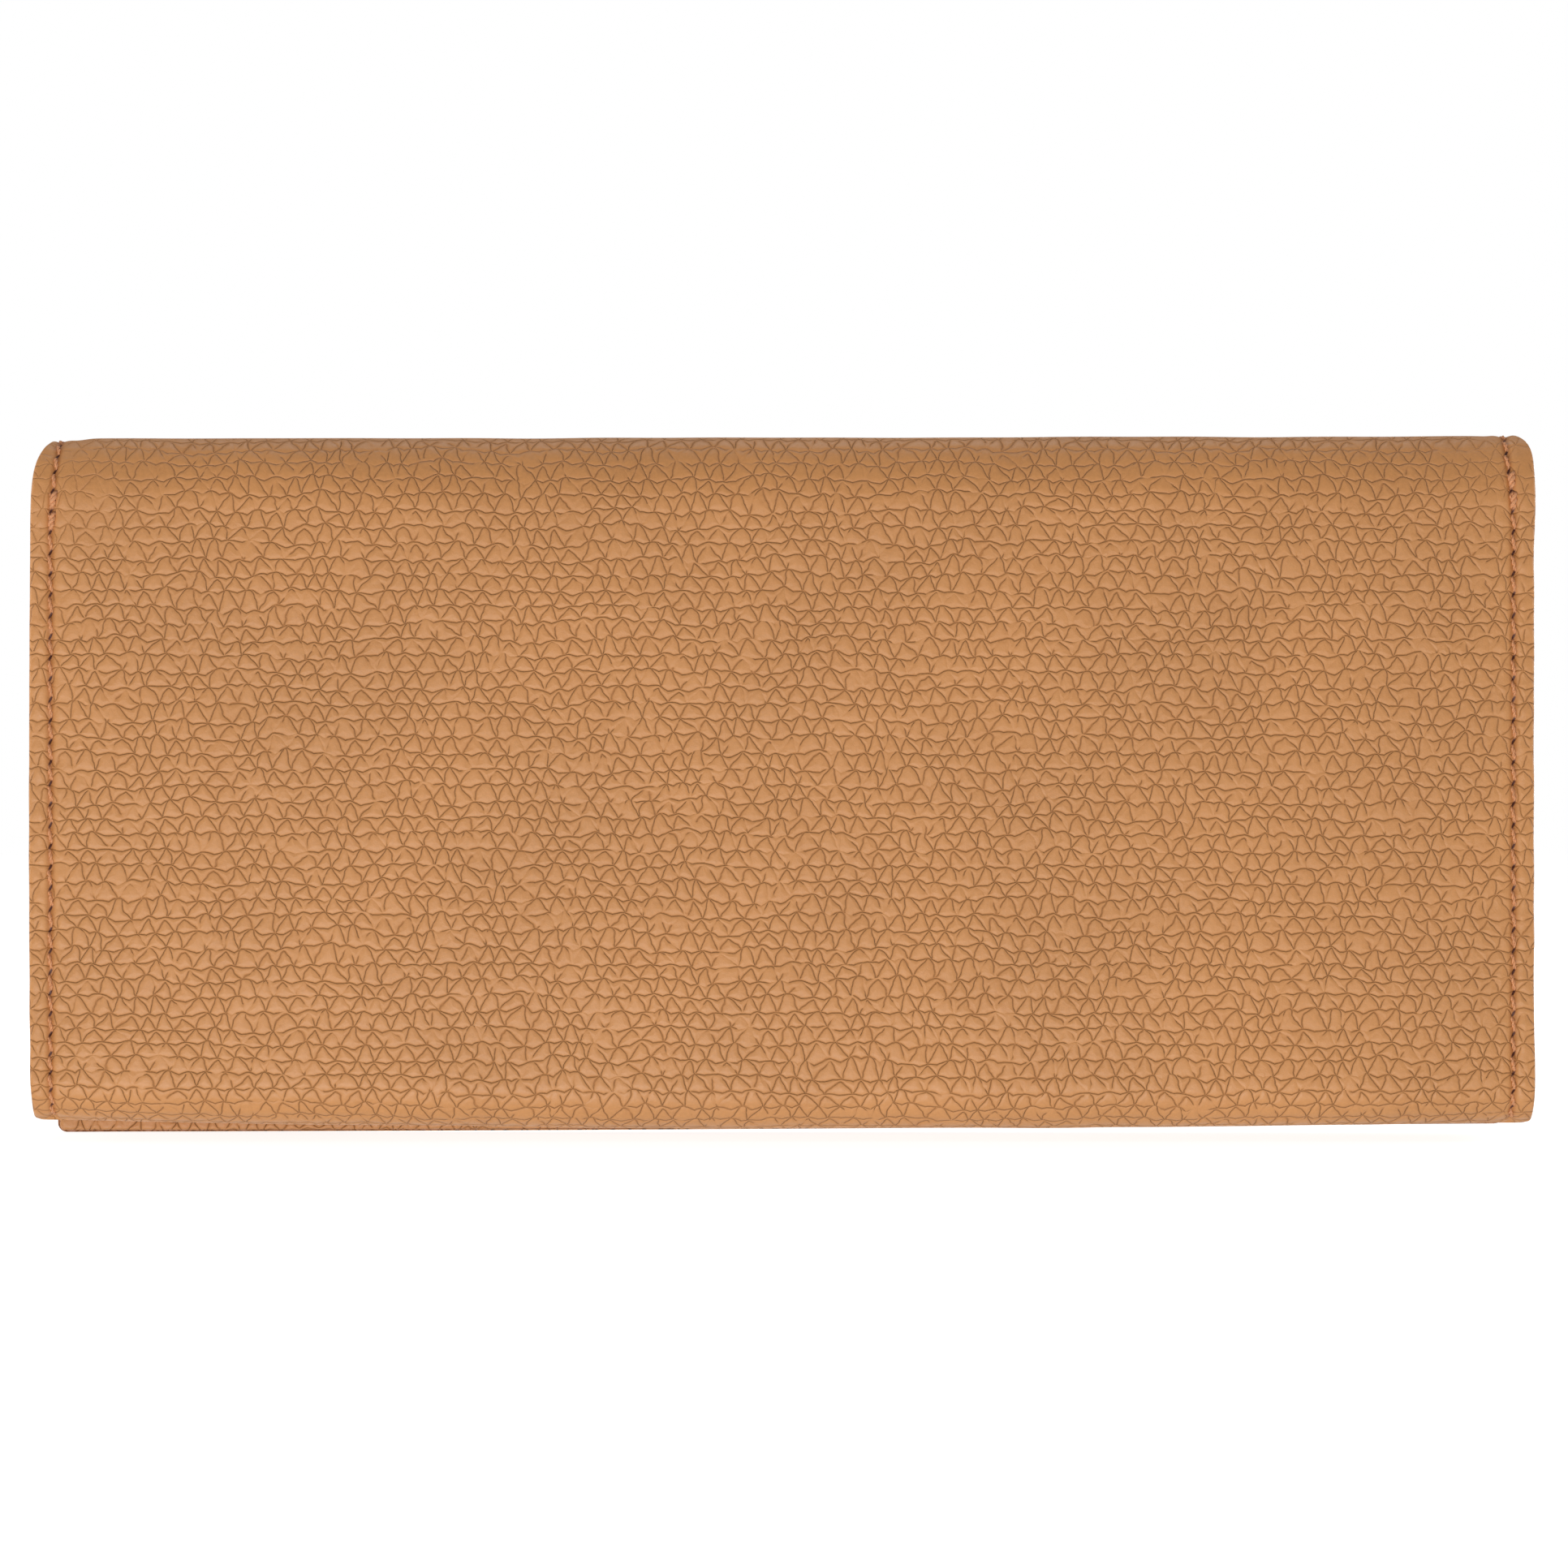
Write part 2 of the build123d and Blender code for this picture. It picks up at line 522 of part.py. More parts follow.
STOP_GAP = 0.6            # from the last tooth to the end stop
with BuildPart() as zip_stops:
    left_x = TEETH_LEFT - STOP_GAP - STOP_LONG / 2
    right_x = TEETH_RIGHT + STOP_GAP + STOP_LONG / 2
    with Locations((left_x, ZIP_Y, TOOTH_Z), (right_x, ZIP_Y, TOOTH_Z)):
        Box(STOP_LONG, 2 * ROW_OUTER, TOOTH[2])
finish(zip_stops, "zip_stops")

TEETH_TOP = TOOTH_Z + TOOTH[2] / 2
TEETH_LOW = TOOTH_Z - TOOTH[2] / 2
SLIDER_TOP = TEETH_TOP + SLIDER_CLEAR + SLIDER_PLATE
BAR_Z = SLIDER_TOP + BAR_RISE
SLIDER_POST = 0.3
RIM = 0.22                # the slider's rims, which hang over the outer ends of the teeth


def slider_box(x_long, y_mid, y_wide, low, high, x_mid=SLIDER_X, mode=Mode.ADD):
    """One block of the slider, about the zip's middle line."""
    with Locations((x_mid, ZIP_Y + y_mid, (low + high) / 2)):
        Box(x_long, y_wide, high - low, mode=mode)


with BuildPart() as zip_slider:
    slider_box(SLIDER_LONG, 0, SLIDER_WIDE, SLIDER_TOP - SLIDER_PLATE, SLIDER_TOP)
    under = TEETH_LOW - SLIDER_CLEAR
    slider_box(SLIDER_LONG, 0, 2 * ROW_OUTER, under - SLIDER_PLATE, under)
    slider_box(SLIDER_LONG / 3, 0, SLIDER_POST, under, SLIDER_TOP - SLIDER_PLATE)
    for side in (-1, 1):
        rim_y = side * (SLIDER_WIDE - RIM) / 2
        slider_box(SLIDER_LONG, rim_y, RIM, TAPE_TOP + SLIDER_CLEAR, SLIDER_TOP - SLIDER_PLATE)
    # the two lugs and the bar that the puller hangs on
    for side in (-1, 1):
        slider_box(BAR + 0.8, side * 1.5, 0.7, SLIDER_TOP, BAR_Z + 0.9)
    with Locations((SLIDER_X, ZIP_Y, BAR_Z)):
        Cylinder(BAR / 2, 3.0, rotation=(90, 0, 0))
finish(zip_slider, "zip_slider")

# The puller lies towards -X, with an eye round the bar and a hanging hole at its free end.
EYE_WIDE = 1.9
EYE_BORE = BAR + 0.16
EYE_OUTER = EYE_BORE + 0.9
with BuildPart() as zip_puller:
    with Locations((SLIDER_X, ZIP_Y, BAR_Z)):
        Cylinder(EYE_OUTER / 2, EYE_WIDE, rotation=(90, 0, 0))
    slider_box(3.0, 0, EYE_WIDE, BAR_Z - PULLER_THICK / 2, BAR_Z + PULLER_THICK / 2, SLIDER_X - 1.9)
    with BuildSketch(Plane.XY.offset(BAR_Z - PULLER_THICK / 2)):
        with Locations((SLIDER_X - 2.8 - PULLER_LONG / 2, ZIP_Y)):
            RectangleRounded(PULLER_LONG, PULLER_WIDE, 1.2)
        with Locations((SLIDER_X - PULLER_LONG - 0.8, ZIP_Y)):
            Circle(0.7, mode=Mode.SUBTRACT)
    extrude(amount=PULLER_THICK)
    with Locations((SLIDER_X, ZIP_Y, BAR_Z)):
        Cylinder(EYE_BORE / 2, EYE_WIDE, rotation=(90, 0, 0), mode=Mode.SUBTRACT)
finish(zip_puller, "zip_puller")

# The two top bend lines, on the outer face at the middle of each corner.
FOLD_Y = TOP_FRONT[0] + ROLL * cos(radians(45))
FOLD_Z = TOP_FRONT[1] + ROLL * sin(radians(45))
TOE_Y = BASE_FRONT[0] + TOE * cos(radians(45))
TOE_Z = BASE_FRONT[1] - TOE * sin(radians(45))
print(f"thickness {THICK:.2f}, top folds at y +-{FOLD_Y:.3f}, z {FOLD_Z:.3f}")
print(f"front wall turns at y {TOE_Y:.3f}, z {TOE_Z:.3f}; puller bar at z {BAR_Z:.3f}, y {ZIP_Y:.3f}")
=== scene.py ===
import math

import bmesh
import bpy
import numpy as np
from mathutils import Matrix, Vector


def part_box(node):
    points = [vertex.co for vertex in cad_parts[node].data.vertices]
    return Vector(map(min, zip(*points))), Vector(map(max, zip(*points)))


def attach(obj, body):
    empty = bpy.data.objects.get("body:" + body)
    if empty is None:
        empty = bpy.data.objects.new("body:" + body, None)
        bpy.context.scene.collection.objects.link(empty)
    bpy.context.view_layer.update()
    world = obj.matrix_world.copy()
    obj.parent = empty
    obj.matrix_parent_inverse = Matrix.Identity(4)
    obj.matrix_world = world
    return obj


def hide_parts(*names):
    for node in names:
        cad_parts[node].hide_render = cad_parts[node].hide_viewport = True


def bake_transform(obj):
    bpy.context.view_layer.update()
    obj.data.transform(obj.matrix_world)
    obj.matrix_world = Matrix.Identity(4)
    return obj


# The long wallet's looks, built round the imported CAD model. Lengths are in millimetres in this
# script, and become metres when a mesh is made. s is the way along the wallet's skin, measured
# from the middle of the spine: down the back, under the base and up the front wall it is positive,
# and down the flap it is negative.
MM = 0.001

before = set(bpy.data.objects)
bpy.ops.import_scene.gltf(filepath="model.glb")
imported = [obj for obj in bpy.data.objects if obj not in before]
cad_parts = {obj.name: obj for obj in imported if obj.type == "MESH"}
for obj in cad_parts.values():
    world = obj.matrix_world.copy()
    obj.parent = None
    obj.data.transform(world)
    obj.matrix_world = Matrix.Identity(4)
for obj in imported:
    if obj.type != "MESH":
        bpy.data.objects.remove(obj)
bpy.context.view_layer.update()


def box(node):
    """A CAD node's lowest and highest corners, in millimetres."""
    low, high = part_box(node)
    return np.array(low) / MM, np.array(high) / MM


# ---- places, read from the imported CAD parts ----
TOP = box("spine_leather")[1][2]
BASE = box("back_leather")[0][2]
BACK_Y = box("back_leather")[0][1]
BACK_HALF = box("back_leather")[1][0]
FLAP_Y = box("flap_leather")[1][1]
FLAP_HALF = box("flap_leather")[1][0]
FRONT_Y = box("front_leather")[1][1]
FRONT_TOP = box("front_leather")[1][2]
LEATHER = box("back_stiffener")[0][1] - BACK_Y
SHEET = FLAP_Y - box("snap_socket")[0][1]      # leather and lining together
BACK_SEAM = (box("back_seam_right")[0][0] + box("back_seam_right")[1][0]) / 2
FLAP_SEAM = FLAP_HALF - (BACK_HALF - BACK_SEAM) + 0.15
SNAP_LOW, SNAP_HIGH = box("snap_socket")
EDGE_SEAM = 2.4           # from the flap's and the front wall's free edges to their seams
ROLL_Y = 6.2              # the top rolls' reach across the thickness
ROLL_Z = 9.0              # and down the back and the flap
BASE_ROLL = 6.0           # the round under the back
TOE = 4.0                 # and under the front wall
MARGIN_END = {-1: BASE + 0.12, 1: BASE + 0.05}    # where each side's seam margin stops
BASE_HALF = 92.4          # half the base's width, between the margins' ends
PITCH = 2.65              # one stitch to the next
LEFT_CORNER = (2.3, 8.0)  # the rounded top corners, across and down
RIGHT_CORNER = (1.5, 3.0)
SEAM_IN = 0.7             # how far the side seams draw in at the top


# ---- the skin's section, from the flap's free edge over the top, round the base and up the front ----
def quarter(centre, reach_y, reach_z, start):
    """A quarter turn to the left from the start angle, in degrees, as (y, z) points."""
    angles = np.radians(np.linspace(start, start + 90, 60))
    return [(centre[0] + reach_y * math.cos(a), centre[1] + reach_z * math.sin(a)) for a in angles]


OUTLINE = np.array(
    [(FLAP_Y, 0.0)]
    + quarter((FLAP_Y - ROLL_Y, TOP - ROLL_Z), ROLL_Y, ROLL_Z, 0)
    + [(0.0, TOP)]
    + quarter((BACK_Y + ROLL_Y, TOP - ROLL_Z), ROLL_Y, ROLL_Z, 90)
    + quarter((BACK_Y + BASE_ROLL, BASE + BASE_ROLL), BASE_ROLL, BASE_ROLL, 180)
    + [(0.0, BASE)]
    + quarter((FRONT_Y - TOE, BASE + TOE), TOE, TOE, 270)
    + [(FRONT_Y, FRONT_TOP)]
)
RUN = np.concatenate([[0], np.cumsum(np.hypot(*np.diff(OUTLINE, axis=0).T))])
RUN -= RUN[np.argmin(np.hypot(OUTLINE[:, 0], OUTLINE[:, 1] - TOP))]
FLAP_END = RUN[0]
FRONT_END = RUN[-1]
BASE_MIDDLE = RUN[np.argmin(np.hypot(OUTLINE[:, 0], OUTLINE[:, 1] - BASE))]


def section(s):
    """Points on the skin's outer face at s, and their outward normals, each as y and z."""
    s = np.asarray(s, float)
    y = np.interp(s, RUN, OUTLINE[:, 0])
    z = np.interp(s, RUN, OUTLINE[:, 1])
    reach = 0.6
    run_y = np.interp(s + reach, RUN, OUTLINE[:, 0]) - np.interp(s - reach, RUN, OUTLINE[:, 0])
    run_z = np.interp(s + reach, RUN, OUTLINE[:, 1]) - np.interp(s - reach, RUN, OUTLINE[:, 1])
    length = np.hypot(run_y, run_z)
    return y, z, run_z / length, -run_y / length


def s_at_height(z, lowest, highest):
    """Where between two values of s the section is at height z."""
    s = np.linspace(lowest, highest, 4000)
    return s[np.argmin(np.abs(section(s)[1] - z))]


MARGIN_S = {side: s_at_height(MARGIN_END[side], 40, BASE_MIDDLE - 1) for side in (-1, 1)}


# ---- smooth shapes ----
def ripple(a, b, size, seed, waves=9):
    """A gentle field of about that size of wave, from about -1 to 1, the same every run."""
    random = np.random.default_rng(seed)
    total = np.zeros(np.broadcast(a, b).shape)
    for _ in range(waves):
        angle, phase = random.uniform(0, 2 * math.pi, 2)
        wave = 2 * math.pi / (size * random.uniform(0.7, 1.4))
        total += np.sin(wave * (a * math.cos(angle) + b * math.sin(angle)) + phase)
    return total / math.sqrt(waves * 1.5)


def hump(distance, width):
    """1 on a line, falling smoothly to 0 about twice that width away."""
    return np.exp(-((distance / width) ** 2))


def ease(value, start, end):
    """0 before start, 1 after end, smooth between."""
    t = np.clip((value - start) / (end - start), 0, 1)
    return t * t * (3 - 2 * t)


def rounding(distance, radius):
    """How far a rounded edge falls away at that distance inside it."""
    inside = np.clip(radius - distance, 0, radius)
    return radius - np.sqrt(np.maximum(radius**2 - inside**2, 0))


def corner_in(down, corner):
    """How far a rounded top corner draws in, at that distance below the top."""
    across, tall = corner
    t = np.clip(1 - down / tall, 0, 1)
    return across * (1 - np.sqrt(1 - t * t))


# ---- the wallet's outline and its soft surface ----
def skin_half(s, side):
    """Half the skin's width at s, on the side -1 or 1."""
    s = np.asarray(s, float)
    z = section(s)[1]
    corner = LEFT_CORNER if side < 0 else RIGHT_CORNER
    back = BACK_HALF - corner_in(TOP - z, corner)
    left_bow = 0.24 * np.clip(1 - ((z - 42) / 42) ** 2, 0, 1)
    right_bow = 0.12 + 0.18 * hump(z - 6, 9) + 0.2 * hump(z - 83, 5)
    back = back + (left_bow if side < 0 else right_bow) + 0.03 * ripple(s, 0 * s, 7, 20 + side)
    back = back - rounding(MARGIN_S[side] - s, 0.8 if side < 0 else 0.5)
    back = np.where(s < MARGIN_S[side], back, BASE_HALF)
    front = BASE_HALF + (FLAP_HALF - BASE_HALF) * ease(z, BASE + TOE * 0.4, BASE + TOE)
    front = front - rounding(FRONT_END - s, 1.2)
    wide = FLAP_HALF + (0.35 if side < 0 else 0.0)
    flap_corner = (wide - BACK_HALF + corner[0], corner[1])
    flap = wide - corner_in(TOP - z, flap_corner) - rounding(s - FLAP_END, 1.2)
    return np.where(s < 0, flap, np.where(s > BASE_MIDDLE, front, back))


def seam_x(s):
    """How far from the middle the side seams run."""
    z = section(s)[1]
    back = BACK_SEAM - SEAM_IN * ease(z, TOP - 12, TOP)
    flap = FLAP_SEAM + (BACK_SEAM - SEAM_IN - FLAP_SEAM) * ease(z, TOP - 9, TOP)
    return np.where(np.asarray(s) < 0, flap, back)


def edge_seams():
    """Where the seams across the flap's and the front wall's free edges run."""
    return FLAP_END + EDGE_SEAM, FRONT_END - EDGE_SEAM


def lift(x, s):
    """What the hand-made outline adds to the height: a base that rises to its ends, top corners that
    sag at the margins, and a flap that hangs a little crooked."""
    z = section(s)[1]
    left, right = np.clip(-x / BASE_HALF, 0, 1), np.clip(x / BASE_HALF, 0, 1)
    base = (1.0 * left**1.6 + 0.75 * right**2.5) * ease(-z, -BASE - 14, -BASE) * (s > 0)
    top = (0.25 * ease(x, -60, 90) - 0.3 * ease(-x, 87, 91)) * ease(z, TOP - 5, TOP - 0.5)
    tip = 1.1 * np.clip((x + FLAP_HALF) / (2 * FLAP_HALF), 0, 1) ** 1.6
    return base + top + tip * (1 - ease(s, FLAP_END, -15)) * (s < 0)


def seam_dent(off, beat):
    """The height a seam adds: a sunk line that is deepest at the needle holes, and puffed sides."""
    dent = -hump(off, 0.42) * (0.26 + 0.12 * beat)
    dent = dent - 0.14 * hump(off, 2.4)
    dent = dent + 0.11 * hump(off - 1.25, 0.65) * (1 - 0.5 * beat)
    return dent + 0.07 * hump(off + 1.2, 0.8) * (1 - 0.8 * beat)


def soft_height(x, s):
    """The skin's soft shape: its padded middle, gentle waves, and its sunk seams."""
    z = section(s)[1]
    middle = np.clip(1 - (x / BACK_HALF) ** 2, 0, 1)
    flat = ease(z, BASE + 2, BASE + 22) * ease(-z, -TOP + 1, -TOP + 22)
    rise = 0.35 * middle**0.5 * flat
    rise = rise + 0.06 * ripple(x, s * 1.6, 34, 11) + 0.03 * ripple(x, s * 1.3, 11, 12)
    along_beat = np.cos(2 * np.pi * s / PITCH)
    across_beat = np.cos(2 * np.pi * x / PITCH)
    for side in (-1, 1):
        sewn = (s < MARGIN_S[side]) | (s > BASE_MIDDLE + 8)
        rise = rise + seam_dent(side * x - seam_x(s), along_beat) * sewn
    for line in edge_seams():
        inside = ease(seam_x(s) + 0.5 - np.abs(x), 0, 1)
        rise = rise + seam_dent(np.abs(s - line), across_beat) * inside * 0.9
    return rise


def skin_point(x, s, up):
    """The point that far above the skin at x and s."""
    y, z, normal_y, normal_z = section(s)
    height = soft_height(x, s) + up
    return np.stack([x + 0 * s, y + normal_y * height, z + normal_z * height + lift(x, s)], -1)


# ---- meshes ----
def make_object(name, vertices, faces, fields=None, material=None, sharp=40):
    """A mesh object from millimetre vertices, with smooth faces, sharp edges and named fields."""
    mesh = bpy.data.meshes.new(name)
    mesh.from_pydata((np.asarray(vertices) * MM).tolist(), [], faces)
    mesh.update()
    for field, values in (fields or {}).items():
        values = np.asarray(values, np.float32)
        kind = "FLOAT_VECTOR" if values.ndim == 2 else "FLOAT"
        attribute = mesh.attributes.new(field, kind, "POINT")
        attribute.data.foreach_set("vector" if values.ndim == 2 else "value", values.ravel())
    mesh.polygons.foreach_set("use_smooth", [True] * len(mesh.polygons))
    mesh.set_sharp_from_angle(angle=math.radians(sharp))
    piece = bpy.data.objects.new(name, mesh)
    bpy.context.scene.collection.objects.link(piece)
    if material:
        mesh.materials.append(material)
    return piece


def turn_outwards(piece):
    """Turn every face of a closed piece outwards."""
    work = bmesh.new()
    work.from_mesh(piece.data)
    bmesh.ops.recalc_face_normals(work, faces=work.faces)
    work.to_mesh(piece.data)
    work.free()


def grid_faces(rows, columns, wrap=False):
    """Four-sided faces over a grid of vertices, row after row; wrap joins each row's two ends."""
    index = np.arange(rows * columns).reshape(rows, columns)
    if wrap:
        index = np.concatenate([index, index[:, :1]], 1)
    corners = index[:-1, :-1], index[:-1, 1:], index[1:, 1:], index[1:, :-1]
    return np.stack([c.ravel() for c in corners], 1).tolist()


EDGE_STEPS = np.array([0.06, 0.16, 0.3, 0.5, 0.8])
STEP = 0.5


def spread(start, end, step, fine_start, fine_end):
    """Values from start to end about a step apart, closer together near a free edge."""
    values = np.linspace(start, end, max(int((end - start) / step), 2) + 1)
    if fine_start:
        values = np.concatenate([values, start + EDGE_STEPS])
    if fine_end:
        values = np.concatenate([values, end - EDGE_STEPS])
    values = np.unique(np.round(values, 5))
    values = values[np.concatenate([[True], np.diff(values) > 0.045])]
    values[-1] = end
    return values


def columns(step, fine):
    """Places across a sheet from -1 to 1, closer together near its two side edges."""
    edge = np.concatenate([EDGE_STEPS, np.arange(1.0, 1.0 + fine, 0.22)]) / BACK_HALF
    middle = np.arange(-1 + edge[-1], 1 - edge[-1], step / BACK_HALF)
    return np.unique(np.concatenate([[-1, 1], edge - 1, 1 - edge, middle]))


class Sheet:
    """A closed sheet of leather. Its face is a fine grid, and its hidden side is plain strips.

    span is its start and end along place(s); depths are how deep its face and its rear lie under
    the place's surface; half(s, side) is its half width; free says which ends are free edges."""

    def __init__(self, name, span, depths, half, free=(False, False), edge=0.45,
                 place=section, step=STEP, fine=0.0, shift=None):
        self.name, self.place, self.shift = name, place, shift
        self.face, self.rear = depths
        self.s = spread(*span, step, *free)
        u = columns(step, fine)[None, :]
        width = np.where(u < 0, half(self.s, -1)[:, None], half(self.s, 1)[:, None])
        self.x = u * width
        self.along = np.repeat(self.s[:, None], self.x.shape[1], axis=1)
        drop = rounding((1 - np.abs(u)) * width, edge)
        if free[0]:
            drop = drop + rounding(self.along - span[0], edge)
        if free[1]:
            drop = drop + rounding(span[1] - self.along, edge)
        self.drop = np.minimum(drop, abs(self.rear - self.face) * 0.6)
        self.rise = np.zeros_like(self.x)
        self.fields = {"relief": np.ones_like(self.x)}

    def points(self, x, s, depth):
        """Points at a depth under the place's surface."""
        y, z, normal_y, normal_z = (a[:, None] for a in self.place(self.s))
        up = self.shift(x, s) if self.shift else 0
        return np.stack([x, y - normal_y * depth, z - normal_z * depth + up], 2).reshape(-1, 3)

    def faces(self):
        """The face's grid, the rear's strips, and the four edges."""
        rows, wide = self.x.shape
        first = rows * wide
        faces = grid_faces(rows, wide)
        for j in range(rows - 1):
            left, right = j * wide, j * wide + wide - 1
            a, b = first + 2 * j, first + 2 * j + 1
            faces += [[a, a + 2, b + 2, b], [left, left + wide, a + 2, a], [right, b, b + 2, right + wide]]
        faces.append(list(range(wide)) + [first + 1, first])
        faces.append(list(range(first - wide, first)) + [first + 2 * rows - 1, first + 2 * rows - 2])
        return faces

    def build(self, material):
        """The mesh object."""
        outward = 1 if self.rear > self.face else -1
        ends = [0, -1]
        face = self.points(self.x, self.along, self.face + outward * (self.drop - self.rise))
        rear = self.points(self.x[:, ends], self.along[:, ends], self.rear + 0 * self.x[:, ends])
        side = [0 * self.x, 5 + 0 * self.x[:, ends]]
        skin = [np.stack([self.x, self.along, side[0]], 2).reshape(-1, 3),
                np.stack([self.x[:, ends], self.along[:, ends], side[1]], 2).reshape(-1, 3)]
        fields = {"skin": np.concatenate(skin)}
        for field, values in self.fields.items():
            flat = values.reshape(-1, *values.shape[2:])
            behind = values[:, ends].reshape(-1, *values.shape[2:])
            fields[field] = np.concatenate([flat, behind])
        piece = make_object(self.name, np.concatenate([face, rear]), self.faces(), fields, material)
        turn_outwards(piece)
        return piece


# ---- thread ----
PLY = 0.15                # radius of one of a thread's two plies
TWIST = 1.6               # turns of the plies along a stitch
HOLE = 0.12               # the part of each pitch that a needle hole takes
SWELL = 0.8               # how far a ply lies from the thread's middle, in plies


def tube(points, radius, sides=6):
    """A round tube along points: its vertices and faces."""
    points = np.asarray(points)
    way = np.gradient(points, axis=0)
    way /= np.linalg.norm(way, axis=1, keepdims=True)
    helper = np.where(np.abs(way[:, :1]) < 0.8, [[1.0, 0, 0]], [[0, 1.0, 0]])
    one = np.cross(way, helper)
    one /= np.linalg.norm(one, axis=1, keepdims=True)
    two = np.cross(way, one)
    angles = np.arange(sides) * 2 * math.pi / sides
    ring = one[:, None] * np.cos(angles)[None, :, None] + two[:, None] * np.sin(angles)[None, :, None]
    vertices = (points[:, None] + ring * np.reshape(radius, (-1, 1, 1))).reshape(-1, 3)
    faces = grid_faces(len(points), sides, wrap=True)
    last = (len(points) - 1) * sides
    faces += [list(range(sides))[::-1], list(range(last, last + sides))]
    return vertices, faces


class Thread:
    """Stitches gathered into one piece."""

    def __init__(self, seed):
        self.vertices, self.faces, self.tone, self.count = [], [], [], 0
        self.random = np.random.default_rng(seed)

    def stitch(self, place, start, long, lean, size=1.0, off=0.0, up=0.0):
        """One stitch of two twisted plies; place(along, off, up) gives points on the surface."""
        t = np.linspace(-0.06, 1.06, 15)
        along = start + t * long
        middle = off + lean * (t - 0.5) + self.random.normal(0, 0.03)
        height = up + 0.08 - 0.6 * np.abs(2 * t - 1) ** 5
        turn = 2 * math.pi * TWIST * t + self.random.uniform(0, 6.28)
        for ply in (0, math.pi):
            sway = SWELL * PLY * size * np.cos(turn + ply)
            stack = SWELL * PLY * size * np.sin(turn + ply)
            points = place(along, middle + sway, height + stack)
            thick = PLY * size * (1 - 0.25 * np.abs(2 * t - 1) ** 3)
            vertices, faces = tube(points, thick)
            self.vertices.append(vertices)
            self.faces += [[i + self.count for i in face] for face in faces]
            # How deep each ring lies in painted shade: 0 mid-stitch, 1 at the ends that dive into the
            # holes.
            self.tone.append(np.repeat(np.abs(2 * t - 1) ** 2.5, 6))
            self.count += len(vertices)

    def run(self, place, start, end, lean=0.3, size=1.0):
        """Stitches from one needle hole to the next, between start and end."""
        first = math.ceil(start / PITCH)
        last = math.floor(end / PITCH)
        for k in range(first, last):
            self.stitch(place, (k + HOLE / 2) * PITCH, PITCH * (1 - HOLE), lean, size)

    def build(self, name):
        """The piece."""
        fields = {"tone": np.concatenate(self.tone)}
        return make_object(name, np.concatenate(self.vertices), self.faces, fields, THREAD, 80)


def down_seam(side):
    """Where a side seam's points are, from their way along, sideways and up."""
    def place(along, off, up):
        x = side * seam_x(along) + off
        return skin_point(x, along, up)
    return place


def across_seam(s):
    """Where an edge seam's points are."""
    def place(along, off, up):
        return skin_point(along, s + off, up)
    return place


# ---- materials ----
class Nodes:
    """Short ways to add nodes to one tree."""

    def __init__(self, tree):
        self.tree = tree

    def add(self, kind, inputs=None, **settings):
        """A new node, with its settings and its inputs' values or links."""
        node = self.tree.nodes.new(kind)
        for key, value in settings.items():
            setattr(node, key, value)
        for key, value in (inputs or {}).items():
            self.set(node.inputs[key], value)
        return node

    def set(self, socket, value):
        """Link a socket into the input, or give it a value."""
        if isinstance(value, bpy.types.NodeSocket):
            self.tree.links.new(value, socket)
        else:
            socket.default_value = value

    def math(self, operation, *values):
        """A Math node's result."""
        node = self.add("ShaderNodeMath", operation=operation)
        for socket, value in zip(node.inputs, values):
            self.set(socket, value)
        return node.outputs[0]

    def noise(self, place, size, detail=2.0, roughness=0.5):
        """Noise with features of about that size: its value and its colour."""
        inputs = {"Vector": place, "Scale": 1 / size, "Detail": detail, "Roughness": roughness}
        node = self.add("ShaderNodeTexNoise", inputs)
        return node.outputs[0], node.outputs[1]

    def split(self, vector):
        """A vector's or a colour's three parts."""
        return self.add("ShaderNodeSeparateXYZ", {0: vector}).outputs

    def ramp(self, value, low, high, out_low=0.0, out_high=1.0):
        """A smooth step from low to high."""
        inputs = {"Value": value, "From Min": low, "From Max": high, "To Min": out_low, "To Max": out_high}
        return self.add("ShaderNodeMapRange", inputs, interpolation_type="SMOOTHSTEP").outputs[0]

    def mix(self, factor, first, second):
        """A colour between two colours."""
        node = self.add("ShaderNodeMix", data_type="RGBA")
        self.set(node.inputs[0], factor)
        self.set(node.inputs[6], first)
        self.set(node.inputs[7], second)
        return node.outputs[2]

    def field(self, name, output="Fac"):
        """One of the mesh's own named fields."""
        return self.add("ShaderNodeAttribute", attribute_name=name).outputs[output]


def new_material(name):
    """An empty material with a Principled shader wired to its output."""
    material = bpy.data.materials.new(name)
    material.use_nodes = True
    material.node_tree.nodes.clear()
    nodes = Nodes(material.node_tree)
    shader = nodes.add("ShaderNodeBsdfPrincipled")
    nodes.add("ShaderNodeOutputMaterial", {0: shader.outputs[0]})
    return material, nodes, shader


def srgb(red, green, blue):
    """A screen colour, 0 to 255, as the linear colour that shaders take."""
    values = [min(c, 255) / 255 for c in (red, green, blue)]
    linear = [c / 12.92 if c <= 0.04045 else ((c + 0.055) / 1.055) ** 2.4 for c in values]
    return (*linear, 1.0)


def shade(colour, times):
    """The same screen colour, lighter or darker."""
    return srgb(*[c * times for c in colour])


ROW = 2.05                # the height of a row of grain
CELL = 2.5                # one dome to the next along its row


